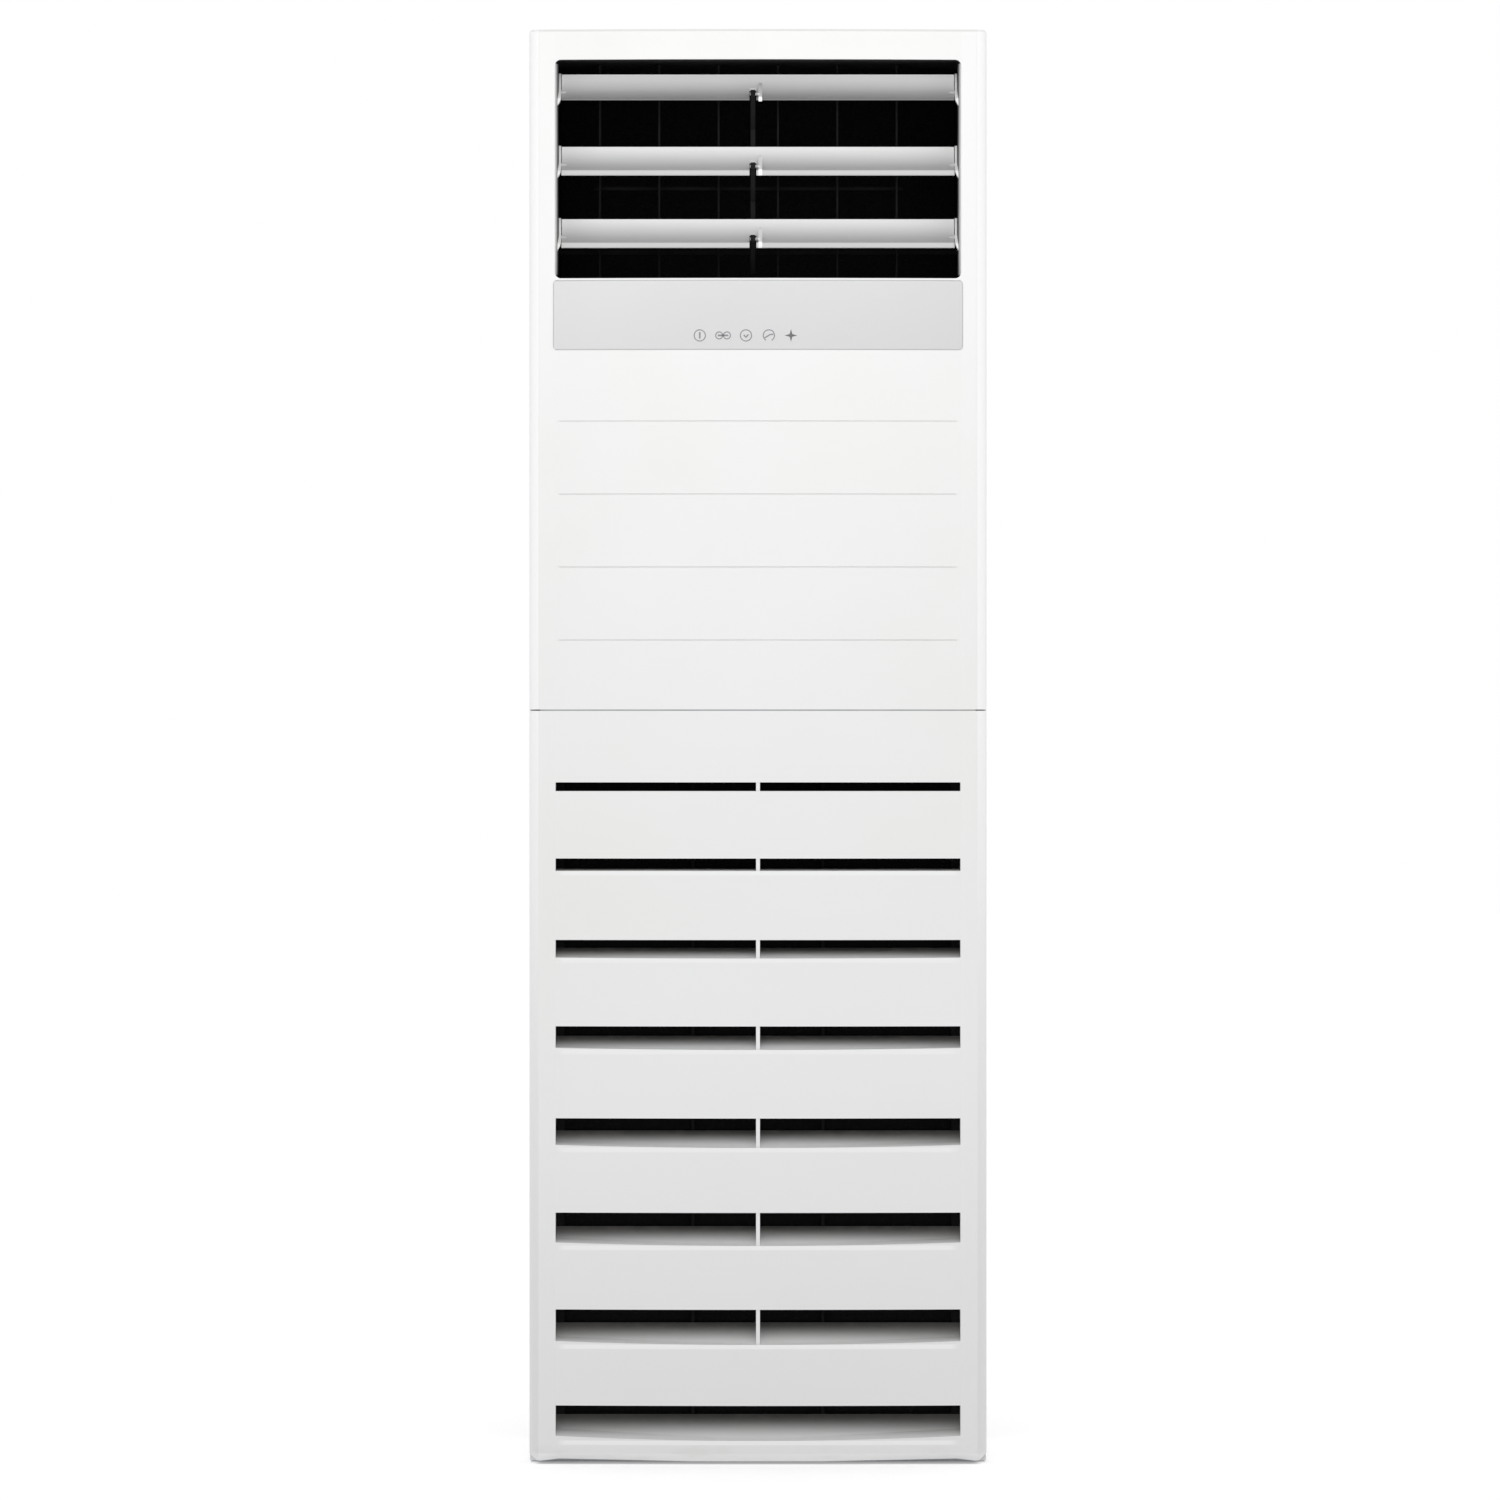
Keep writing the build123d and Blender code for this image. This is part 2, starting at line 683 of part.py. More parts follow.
def louvre_section(lipped):
    """Cambered blade about the louvre's axis, with or without its upright front lip."""
    front = Vector(-louvre_reach, -louvre_drop)
    rear = Vector(louvre_tail, louvre_rise)
    chord = rear - front
    middle = (front + rear) * 0.5 + Vector(chord.Y, -chord.X).normalized() * louvre_camber
    blade = trace(ThreePointArc(front, middle, rear), louvre_sheet)
    if not lipped:
        return blade
    half = louvre_sheet / 2
    root = front.X + 1
    lip_y = front.X - lip_forward
    lip_z = front.Y + half - lip_drop
    toe = outline((root, front.Y - half), (root, front.Y + half), (lip_y, lip_z + half), (lip_y, lip_z - half))
    lip = chamfer(Rectangle(lip_thickness, lip_height).vertices(), lip_bevel)
    return blade + toe + Pos(lip_y, lip_z) * lip


def make_louvre(height, lipped, driven):
    """One louvre, with its end pins, link notch, centre fin and link pin."""
    blade = along_x(louvre_section(lipped), -louvre_half, louvre_half)
    pin = along_x(disc(0, 0, louvre_pin_radius), louvre_half - louvre_pin_root, louvre_pin_end)
    blade += both_sides(pin)
    notch_front = -louvre_reach - 2 * lip_forward
    notch = (link_left - notch_side_gap, link_right + notch_side_gap, notch_front, notch_back)
    blade -= block(*notch, -louvre_rise, louvre_rise)
    fin_front = -louvre_reach - lip_forward - lip_thickness / 2 - fin_proud
    nose = [(fin_front, fin_nose - louvre_drop), (fin_front, -fin_nose - louvre_drop)]
    web = outline((fin_back, fin_rise), *nose, (-louvre_reach, -louvre_drop), (fin_root_back, fin_root_rise))
    blade += along_x(web, fin_offset, fin_offset + fin_width)
    pin_shape = disc if driven else flat_pin
    link_pin = pin_shape(link_y - louvre_y, -link_drop, link_pin_radius)
    blade += along_x(link_pin, link_left - link_pin_overhang, fin_offset + 1)
    if driven:
        socket = flat_hole(0, 0, stepper_shaft_radius + stepper_clearance)
        blade -= along_x(socket, louvre_pin_end - stepper_socket, louvre_pin_end + 1)
    return Pos(0, louvre_y, height) * blade


def make_louvre_link():
    """Rod behind the louvres, with one forward arm and eye for each of them."""
    spine_y = link_y + link_arm_back
    drop = -link_drop - link_arm_down
    low = louvre_heights[-1] + drop
    high = louvre_heights[0] + drop
    spine = Pos(spine_y, (low + high) / 2) * Rectangle(link_bar, high - low + link_bar)
    for height in louvre_heights:
        eye = flat_hole(link_y, height - link_drop, link_eye_radius)
        foot = Pos(spine_y, height + drop) * Rectangle(link_bar, link_bar)
        wrist = Pos(link_y, height - link_drop) * Rectangle(link_bar, link_bar)
        spine += make_hull(wrist.edges() + foot.edges()) + eye
    rod = along_x(spine, link_left, link_right)
    for height in louvre_heights:
        hole = flat_hole(link_y, height - link_drop, link_pin_radius + link_clearance)
        rod -= along_x(hole, link_left - 1, link_right + 1)
    return rod


def stepper():
    """Small square stepper, its face at the origin and its body above, with two ears."""
    can = chamfer(Rectangle(stepper_width, stepper_width).vertices(), stepper_cut)
    body = along_z(can, 0, stepper_length)
    body += along_z(Rectangle(stepper_ear_span, stepper_ear_width), 0, stepper_ear_sheet)
    plug = Pos(0, stepper_width / 2) * Rectangle(stepper_plug, stepper_plug / 2)
    body += along_z(plug, stepper_ear_sheet, stepper_length - stepper_ear_sheet)
    return body - along_z(flat_hole(0, 0, stepper_shaft_radius + stepper_clearance), -1, stepper_length / 2)


def stepper_shaft(length):
    """The stepper's output shaft, from inside the motor down into what it drives."""
    return along_z(flat_pin(0, 0, stepper_shaft_radius), -length, stepper_length / 2 - stepper_shaft_root)


def on_right_wall(piece):
    face = outlet_half + duct_wall + seat_gap
    return Pos(face, louvre_y, louvre_heights[1]) * Rot(0, 90, 0) * piece


def under_duct(piece):
    face = outlet_low - duct_wall - seat_gap
    return Pos(vane_places[-1], vane_y, face) * Rot(180, 0, 0) * piece


# ---------------------------------------------------------------- vertical vanes
def make_vane(x, driven):
    """One upright vane with end pins, and a pin across its notch for the link bar."""
    low = outlet_low + vane_end_gap
    high = outlet_top - vane_end_gap
    length = vane_front + vane_rear
    plan = Pos(0, (vane_rear - vane_front) / 2) * Rectangle(vane_thickness, length)
    plan = chamfer(plan.vertices(), vane_thickness / 3)
    vane = along_z(plan, low, high)
    pin_low = outlet_low - duct_wall
    vane += along_z(Circle(vane_pin_radius), pin_low, low)
    vane += along_z(Circle(vane_pin_radius), high, outlet_top + duct_wall)
    notch_low = vane_link_height - vane_notch_height / 2
    notch_high = notch_low + vane_notch_height
    notch_front = vane_rear - vane_notch_depth
    vane -= block(-vane_thickness, vane_thickness, notch_front, vane_rear + 1, notch_low, notch_high)
    pin_shape = disc if driven else flat_pin
    vane += along_z(pin_shape(0, vane_link_back, link_pin_radius), notch_low, notch_high)
    if driven:
        socket = flat_hole(0, 0, stepper_shaft_radius + stepper_clearance)
        vane -= along_z(socket, pin_low - 1, pin_low + stepper_socket)
    return Pos(x, vane_y, 0) * vane


def make_vane_link():
    """Bar that keeps the vanes parallel."""
    y = vane_y + vane_link_back
    middle = (vane_places[0] + vane_places[-1]) / 2
    length = vane_places[-1] - vane_places[0] + 2 * vane_link_overhang
    plan = Pos(middle, y) * Rectangle(length, vane_link_width)
    plan -= [flat_hole(x, y, link_pin_radius + link_clearance) for x in vane_places]
    half = vane_link_thickness / 2
    return along_z(plan, vane_link_height - half, vane_link_height + half)


# ---------------------------------------------------------------- inner air path
def make_plenum_liner():
    """Foam hood behind the duct: back, top and sides."""
    back = rear_inner - seat_gap
    front = duct_back + seat_gap
    half = outlet_half + liner_wall
    top = outlet_top + liner_wall
    hood = block(-half, half, front, back, liner_low, top)
    return hood - block(-outlet_half, outlet_half, front - 1, back - liner_wall, liner_low - 1, outlet_top)


def coil_place(piece):
    """Puts a piece drawn about the coil's foot, upright, into the leaning coil."""
    return Pos(0, coil_foot_y, coil_foot_height) * Rot(-coil_lean, 0, 0) * piece


def make_evaporator_fins():
    """Fin block: a slab with upright grooves on both faces."""
    slab = Rectangle(coil_width, coil_thickness)
    count = int((coil_width - fin_pitch) / fin_pitch)
    start = -(count - 1) * fin_pitch / 2
    cuts = []
    for i in range(count):
        for side in (-1, 1):
            y = side * (coil_half - fin_groove_depth / 2 + 0.5)
            cuts.append(Pos(start + i * fin_pitch, y) * Rectangle(fin_groove, fin_groove_depth + 1))
    return coil_place(along_z(slab - cuts, 0, coil_length))


def make_coil_end_plates():
    """Folded plates at the coil's ends, flanged out to the cabinet's sides."""
    near = coil_end + seat_gap
    path = [(near, coil_half), (near, -coil_half), (inside_half, -coil_half)]
    plate = coil_place(along_z(folded(path, sheet), -end_plate_margin, coil_length + end_plate_margin))
    relief_low = deck_height
    relief_high = pan_rim + pan_relief_rise
    relief_front = pan_y - pan_relief
    relief_back = pan_back + pan_relief
    relief_start = near + sheet + 2 * seat_gap
    plate -= block(relief_start, inside_half + 1, relief_front, relief_back, relief_low, relief_high)
    return group(both_sides(plate))


def hairpin():
    """Bend open towards +X, of a flat-sided tube mitred round in short lengths."""
    angles = [radians(90 + 180 / bend_mitre_count * i) for i in range(bend_mitre_count + 1)]
    turn = [(bend_radius * cos(a), 0, bend_radius * sin(a)) for a in angles]
    path = Polyline((bend_leg, 0, bend_radius), *turn, (bend_leg, 0, -bend_radius))
    start = Plane(origin=(bend_leg, 0, bend_radius), z_dir=(-1, 0, 0))
    tube = start * RegularPolygon(bend_tube_radius, bend_tube_side_count)
    return sweep(tube, path=path, transition=Transition.RIGHT)


def make_return_bends():
    """Copper hairpins outside the left end plate."""
    x = -(coil_end + sheet + 2 * seat_gap + bend_leg)
    step = coil_length / bend_count
    return group([coil_place(Pos(x, 0, step * (i + 0.5)) * hairpin()) for i in range(bend_count)])


def hose_shape(radius):
    """Outline of the hose, its spout and their bores, in flats that touch the radius."""
    return RegularPolygon(radius, hose_side_count, major_radius=False)


def make_drain_pan():
    """Tray under the coil's foot, with its spout."""
    low = pan_bottom
    tray = block(-pan_half_width, pan_half_width, pan_y, pan_back, low, pan_rim)
    inside = pan_half_width - pan_wall
    tray -= block(-inside, inside, pan_y + pan_wall, pan_back - pan_wall, low + pan_wall, pan_rim + 1)
    spout_low = low - spout_length
    place = Pos(drain_across, drain_y)
    tray += along_z(place * hose_shape(drain_bore - spout_clearance), spout_low, low + 1)
    return tray - along_z(place * hose_shape(spout_bore), spout_low - 1, low + pan_wall + 1)


def make_drain_hose():
    """Hose from the pan's spout down and back to the rear panel."""
    top = deck_height - seat_gap
    end = rear_inner - seat_gap
    start = (drain_across, drain_y, top)
    bend = [(drain_across, drain_y, drain_low + drain_bend), (drain_across, drain_y + drain_bend, drain_low)]
    line = Polyline(start, *bend, (drain_across, end, drain_low))
    ring = hose_shape(drain_radius) - hose_shape(drain_bore)
    return sweep(Plane(origin=start, z_dir=(0, 0, -1)) * ring, path=line, transition=Transition.RIGHT)


def make_coil_baffle():
    """Sheet from the coil's head to the rear panel, so the air has to cross the coil."""
    lean = radians(coil_lean)
    head = coil_length + end_plate_margin + seat_gap
    points = []
    for along in (-coil_half, coil_half + baffle_reach):
        y = coil_foot_y + along * cos(lean) + head * sin(lean)
        points.append((y, coil_foot_height - along * sin(lean) + head * cos(lean)))
    bend_z = points[-1][1]
    seat = rear_inner - bead_depth - seat_gap
    points += [(seat, bend_z), (seat, bend_z + flange)]
    return along_x(folded(points, sheet), -inside_half, inside_half)


def make_coil_cover():
    """Sheet that closes the coil room behind the upper panel."""
    low = split_height + rail_height / 2 + cover_margin
    high = fascia_low - cover_margin
    edge = inner_front + flange
    half = inside_half
    path = [(-half, edge), (-half, inner_front), (half, inner_front), (half, edge)]
    return along_z(folded(path, sheet), low, high)


# ---------------------------------------------------------------- refrigerant pipes
def pipe_bore(y, radius):
    """Open lower end of a pipe, as deep as its nut."""
    return along_z(disc(pipe_x, y, radius - pipe_wall), pipe_low - 1, pipe_low + flare_nut_height)


def make_suction_line():
    """Collector leaning beside the coil, its stubs, and the gas pipe down from its foot."""
    near = coil_end + sheet + 2 * seat_gap
    length = coil_length - header_short
    step = length / header_stub_count
    stub = RegularPolygon(bend_tube_radius, bend_tube_side_count)
    stubs = [along_x(Pos(0, step * (i + 0.5)) * stub, near, pipe_x) for i in range(header_stub_count)]
    header = coil_place(along_z(disc(pipe_x, 0, header_radius), 0, length) + stubs)
    overlap = gas_pipe_radius * sin(radians(coil_lean))
    pipe = along_z(disc(pipe_x, coil_foot_y, gas_pipe_radius), pipe_low, coil_foot_height + overlap)
    return header + pipe - pipe_bore(coil_foot_y, gas_pipe_radius)


def make_liquid_pipe():
    """Thin pipe up to the coil's end plate."""
    near = coil_end + sheet + 2 * seat_gap
    high = coil_foot_height + liquid_rise
    start = (pipe_x, liquid_y, pipe_low)
    line = Polyline(start, (pipe_x, liquid_y, high), (near, liquid_y, high))
    pipe = sweep(Plane(origin=start) * Circle(liquid_pipe_radius), path=line, transition=Transition.RIGHT)
    return pipe - pipe_bore(liquid_y, liquid_pipe_radius)


def make_flare_nut(x, y, radius, flats):
    """Hexagon nut at a pipe's lower end."""
    low = pipe_low - nut_lead
    nut = Pos(x, y) * RegularPolygon(flats / 2, 6, major_radius=False)
    nut -= flat_hole(x, y, radius + nut_clearance)
    return along_z(nut, low, low + flare_nut_height)


# ---------------------------------------------------------------- blower
def arc_about(centre, radius, start, end):
    """Arc about a centre from one angle to another, in degrees."""
    angles = [radians(a) for a in (start, (start + end) / 2, end)]
    return ThreePointArc(*[(centre[0] + radius * cos(a), centre[1] + radius * sin(a)) for a in angles])


def scroll_outline(inset, top):
    """Scroll about the wheel: three growing quarter arcs, then the outlet going up."""
    half = scroll_step / 2
    first = wheel_radius + tongue_gap + half + scroll_sheet - inset
    second = first + scroll_step
    third = second + scroll_step
    right = half + third
    tongue = tongue_x + inset
    low = first - half
    lines = Curve() + [
        Polyline((-half, low), (tongue, low), (tongue, top), (right, top), (right, half)),
        arc_about((half, half), third, 0, -90),
        arc_about((half, -half), second, 270, 180),
        arc_about((-half, -half), first, 180, 90),
    ]
    return Pos(wheel_x, wheel_height) * make_face(lines)


def scroll_top():
    """Scroll's open end above the wheel's axis."""
    return deck_height - seat_gap - wheel_height


def scroll_plate():
    """Outline of the scroll's side plates: the band's extent plus a seam edge, corners cut."""
    half = scroll_step / 2
    reach = wheel_radius + tongue_gap + scroll_sheet + scroll_step + scroll_seam
    left = wheel_x - reach
    right = wheel_x + reach + scroll_step
    low = wheel_height - reach - scroll_step
    high = wheel_height + reach - scroll_step
    tongue = wheel_x + tongue_x - scroll_seam
    top = wheel_height + scroll_top()
    cut = wheel_radius / 2
    foot = [(left, low + cut), (left + cut, low), (right - cut, low), (right, low + cut)]
    neck = [(right, top), (tongue, top), (tongue, high)]
    return outline(*foot, *neck, (left + cut, high), (left, high - cut))


def make_scroll_wrapper():
    """Sheet band round the wheel, open at the top."""
    low = wheel_y + inlet_plate + seat_gap
    high = wheel_y + scroll_depth - scroll_sheet - seat_gap
    band = along_y(scroll_outline(0, scroll_top()), low, high)
    return band - along_y(scroll_outline(scroll_sheet, scroll_top() + 1), low - 1, high + 1)


def make_scroll_front():
    """Moulded front plate of the scroll, its inlet flared as a bell mouth."""
    eye = wheel_eye_radius - throat_gap
    mouth = eye + bell_flare
    front = wheel_y
    back = wheel_y + inlet_plate
    before = [(0, front - 1), (mouth, front - 1), (mouth, front)]
    after = [(eye, back), (eye, back + 1), (0, back + 1)]
    flare = revolve(outline(*before, *after), Axis.Y)
    return along_y(scroll_plate(), front, back) - at_wheel(flare)


def make_scroll_back():
    """Rear plate of the scroll, with the motor shaft's hole."""
    back = wheel_y + scroll_depth
    plate = along_y(scroll_plate(), back - scroll_sheet, back)
    return plate - at_wheel(along_y(flat_hole(0, 0, shaft_hole_radius), back - scroll_sheet - 1, back + 1))


def at_wheel(piece):
    return Pos(wheel_x, 0, wheel_height) * piece


def blade_section():
    """Forward-curved blade between the wheel's eye and its rim, at the top of the wheel."""
    lean = radians(blade_lean)
    root = (0, wheel_eye_radius + blade_margin)
    reach = wheel_radius - blade_margin
    tip = (-reach * sin(lean), reach * cos(lean))
    middle = ((root[0] + tip[0]) / 2 + blade_bulge, (root[1] + tip[1]) / 2)
    return trace(ThreePointArc(root, middle, tip), blade_thickness)


def make_blower_wheel():
    """Back plate of the wheel, its rim in flats from blade to blade, with the hub."""
    rim = RegularPolygon(wheel_radius, blade_count)
    wheel = along_y(rim, wheel_back - wheel_plate, wheel_back)
    wheel += along_y(Circle(hub_radius), wheel_back - hub_length, wheel_back - wheel_plate)
    bore = along_y(Circle(shaft_radius + shaft_clearance), wheel_back - hub_length - 1, wheel_back + 1)
    return at_wheel(wheel - bore)


def make_wheel_blades():
    """Forward-curved blades, each seated between the back plate and the front ring."""
    front = wheel_front + wheel_ring + seat_gap
    blade = along_y(blade_section(), front, wheel_back - wheel_plate - seat_gap)
    return group([at_wheel(Rot(0, 360 / blade_count * i, 0) * blade) for i in range(blade_count)])


def make_wheel_ring():
    """Ring that ties the blades' front ends."""
    rim = RegularPolygon(wheel_radius, blade_count) - RegularPolygon(wheel_eye_radius, blade_count)
    return at_wheel(along_y(rim, wheel_front, wheel_front + wheel_ring))


def make_motor_shaft():
    end = wheel_y + scroll_depth + motor_plate + 2 * seat_gap + motor_length / 2
    return at_wheel(along_y(Circle(shaft_radius), wheel_back - hub_length - shaft_overhang, end))


def make_motor_plate():
    """Steel plate with cut corners that carries the motor on the scroll's back."""
    front = wheel_y + scroll_depth + seat_gap
    plate = chamfer(Rectangle(motor_plate_width, motor_plate_width).vertices(), motor_plate_cut)
    return at_wheel(along_y(plate - flat_hole(0, 0, shaft_hole_radius), front, front + motor_plate))


def make_fan_motor():
    """Square laminated motor with cut corners between two smaller end caps."""
    front = wheel_y + scroll_depth + motor_plate + 2 * seat_gap
    back = front + motor_length
    stack = chamfer(Rectangle(motor_width, motor_width).vertices(), motor_cut)
    cap = chamfer(Rectangle(motor_cap_width, motor_cap_width).vertices(), motor_cut)
    motor = along_y(cap, front, back) + along_y(stack, front + motor_cap, back - motor_cap)
    bore = flat_hole(0, 0, shaft_radius + shaft_clearance)
    return at_wheel(motor - along_y(bore, front - 1, front + motor_length / 2 + 1))


def make_fan_deck():
    """Shelf between the fan room and the coil room."""
    low = deck_height - deck_flange
    high = deck_height + sheet
    path = [(inside_half, low), (inside_half, high), (-inside_half, high), (-inside_half, low)]
    deck = along_y(folded(path, sheet), inner_front, inner_back)
    right = wheel_x + wheel_radius + tongue_gap + 3 * scroll_step
    left = wheel_x + tongue_x + scroll_sheet
    outlet = Rectangle(right - left, scroll_depth - 2 * inlet_plate)
    outlet = Pos((left + right) / 2, wheel_y + scroll_depth / 2) * outlet
    pipe_room = 2 * (gas_pipe_radius + pass_gap)
    pipes = Pos(pipe_x, (coil_foot_y + liquid_y) / 2) * Rectangle(pipe_room, pipe_room + liquid_behind)
    hose = Pos(drain_across, drain_y) * hose_shape(drain_radius + pass_gap)
    holes = [outlet, pipes, hose]
    return deck - [along_z(hole, deck_height - sheet, high + sheet) for hole in holes]


# ---------------------------------------------------------------- electrics
def make_control_box():
    """Open-fronted steel box for the electrics."""
    y = front_y + box_front
    right = box_left + box_width
    high = box_low + box_height
    box = block(box_left, right, y, y + box_depth, box_low, high)
    room = block(box_left + sheet, right - sheet, y - 1, y + box_depth - sheet, box_low + sheet, high - sheet)
    return box - room


def make_control_box_cover():
    y = front_y + box_front - seat_gap
    cover = block(box_left, box_left + box_width, y - sheet, y, box_low, box_low + box_height)
    return chamfer(cover.edges().filter_by(Axis.Y), box_cut)


def make_terminal_block():
    """Screw terminals in a comb of barriers, under the control box."""
    width = terminal_ways * terminal_pitch + terminal_wall
    x = box_left + terminal_inset
    y = front_y + box_front + terminal_wall
    top = box_low - seat_gap
    low = top - terminal_height
    body = block(x, x + width, y, y + terminal_depth, low, top)
    room = terminal_pitch - terminal_wall
    back = y + terminal_depth / 2
    for i in range(terminal_ways):
        left = x + terminal_wall + i * terminal_pitch
        body -= block(left, left + room, y - 1, back, low - 1, top - 2 * terminal_wall)
    return body


# ---------------------------------------------------------------- steel cabinet
def make_base_pan():
    """Pressed base tray with its anchor holes."""
    path = [(-inside_half, base_flange), (-inside_half, 0), (inside_half, 0), (inside_half, base_flange)]
    tray = along_y(folded(path, base_sheet), inner_front, inner_back)
    tray += block(-inside_half, inside_half, inner_front, inner_front + base_sheet, 0, base_lip)
    tray += block(-inside_half, inside_half, inner_back - base_sheet, inner_back, 0, base_flange)
    middle = (inner_front + inner_back) / 2
    for x in (anchor_edge - half_width, half_width - anchor_edge):
        for y in (-anchor_along / 2, anchor_along / 2):
            tray -= along_z(disc(x, middle + y, anchor_radius), -1, base_sheet + 1)
    return tray


def make_side_panel(side):
    """Folded side sheet with its front and rear flanges."""
    outer = half_width
    rear = rear_inner - seat_gap
    path = [(outer - front_flange, steel_front), (outer, steel_front), (outer, rear), (outer - flange, rear)]
    panel = along_z(folded(path, sheet), sheet_foot, cabinet_height - sheet - seat_gap)
    return panel if side > 0 else mirror(panel, about=Plane.YZ)


def bead(middle, inset, face):
    """Bevelled bar that stands inwards from a face of the rear panel."""
    half = half_width - bead_margin - inset
    reach = bead_height / 2 - inset / 2
    bar = block(-half, half, face - bead_depth, face + sheet / 2, middle - reach, middle + reach)
    return chamfer(bar.faces().sort_by(Axis.Y)[0].edges(), bead_bevel)


def make_rear_panel():
    """Rear sheet with stiffening beads, a pipe knock-out and the drain's hole."""
    high = cabinet_height - sheet - seat_gap
    panel = block(-half_width, half_width, rear_inner, rear_outer, sheet_foot, high)
    step = (liner_low - bead_liner_gap - bead_lowest) / (bead_count - 1)
    for i in range(bead_count):
        middle = bead_lowest + step * i
        panel += bead(middle, 0, rear_inner)
        panel -= bead(middle, sheet, rear_outer)
    knockout = disc(half_width - knockout_edge, knockout_height, knockout_radius)
    panel -= along_y(knockout, rear_outer - sheet / 2, rear_outer + 1)
    drain = disc(drain_across, drain_low, drain_radius + pass_gap)
    return panel - along_y(drain, rear_inner - 1, rear_outer + 1)


def make_top_cover():
    """Folded top sheet, with a drip edge behind the rear panel."""
    high = cabinet_height
    low = high - flange
    back = cabinet_depth / 2
    plate = block(-half_width, half_width, steel_front, back, high - sheet, high)
    plate += block(-half_width, half_width, back - sheet, back, high - drip_edge, high)
    path = [(inside_half, low), (inside_half, high), (-inside_half, high), (-inside_half, low)]
    return plate + along_y(folded(path, sheet), inner_front, inner_back)


def make_cross_rail():
    """Channel across the cabinet behind the seam."""
    low = split_height - rail_height / 2
    high = split_height + rail_height / 2
    edge = inner_front + rail_depth
    path = [(edge, low), (inner_front, low), (inner_front, high), (edge, high)]
    return along_x(folded(list(reversed(path)), sheet), -inside_half, inside_half)


def make_grille_catches():
    """Touch catches under the grille's upper return, on the cross rail."""
    back = inner_front - seat_gap
    high = split_height - split_gap / 2 - wall - seat_gap
    inner = half_width - catch_edge - catch_width / 2
    body = block(inner, inner + catch_width, back - catch_depth, back, high - catch_height, high)
    return group(both_sides(body))


# ---------------------------------------------------------------- all pieces
parts = {
    "base_pan": make_base_pan(),
    "left_side_panel": make_side_panel(-1),
    "right_side_panel": make_side_panel(1),
    "rear_panel": make_rear_panel(),
    "top_cover": make_top_cover(),
    "cross_rail": make_cross_rail(),
    "hinge_brackets": make_hinge_brackets(),
    "grille_catches": make_grille_catches(),
    "upper_front_panel": make_upper_front_panel(),
    "control_fascia": make_control_fascia(),
    "display_board": make_display_board(),
    "intake_grille": make_intake_grille(),
    "filter_frame": make_filter_frame(),
    "filter_mesh": make_filter_mesh(),
    "outlet_duct": make_outlet_duct(),
    "louvre_bearings": make_louvre_bearings(),
    "louvre_link": make_louvre_link(),
    "louvre_motor": on_right_wall(stepper()),
    "louvre_motor_shaft": on_right_wall(stepper_shaft(duct_wall + seat_gap + louvre_pin_gap + stepper_grip)),
    "vane_link": make_vane_link(),
    "vane_motor": under_duct(stepper()),
    "vane_motor_shaft": under_duct(stepper_shaft(seat_gap + stepper_grip)),
    "plenum_liner": make_plenum_liner(),
    "coil_cover": make_coil_cover(),
    "evaporator_fins": make_evaporator_fins(),
    "coil_end_plates": make_coil_end_plates(),
    "coil_baffle": make_coil_baffle(),
    "return_bends": make_return_bends(),
    "suction_line": make_suction_line(),
    "liquid_pipe": make_liquid_pipe(),
    "gas_flare_nut": make_flare_nut(pipe_x, coil_foot_y, gas_pipe_radius, flare_nut_flats),
    "liquid_flare_nut": make_flare_nut(pipe_x, liquid_y, liquid_pipe_radius, liquid_nut_flats),
    "drain_pan": make_drain_pan(),
    "drain_hose": make_drain_hose(),
    "fan_deck": make_fan_deck(),
    "scroll_front": make_scroll_front(),
    "scroll_wrapper": make_scroll_wrapper(),
    "scroll_back": make_scroll_back(),
    "blower_wheel": make_blower_wheel(),
    "wheel_blades": make_wheel_blades(),
    "wheel_ring": make_wheel_ring(),
    "motor_shaft": make_motor_shaft(),
    "motor_plate": make_motor_plate(),
    "fan_motor": make_fan_motor(),
    "control_box": make_control_box(),
    "control_box_cover": make_control_box_cover(),
    "terminal_block": make_terminal_block(),
}
for i, height in enumerate(louvre_heights):
    parts[f"louvre_{i + 1}"] = make_louvre(height, lipped=i > 0, driven=i == 1)
for i, x in enumerate(vane_places):
    parts[f"vane_{i + 1}"] = make_vane(x, driven=i == vane_count - 1)

os.makedirs("parts", exist_ok=True)
for name, part in parts.items():
    export_step(part, f"parts/{name}.step")
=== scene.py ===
import json
import math

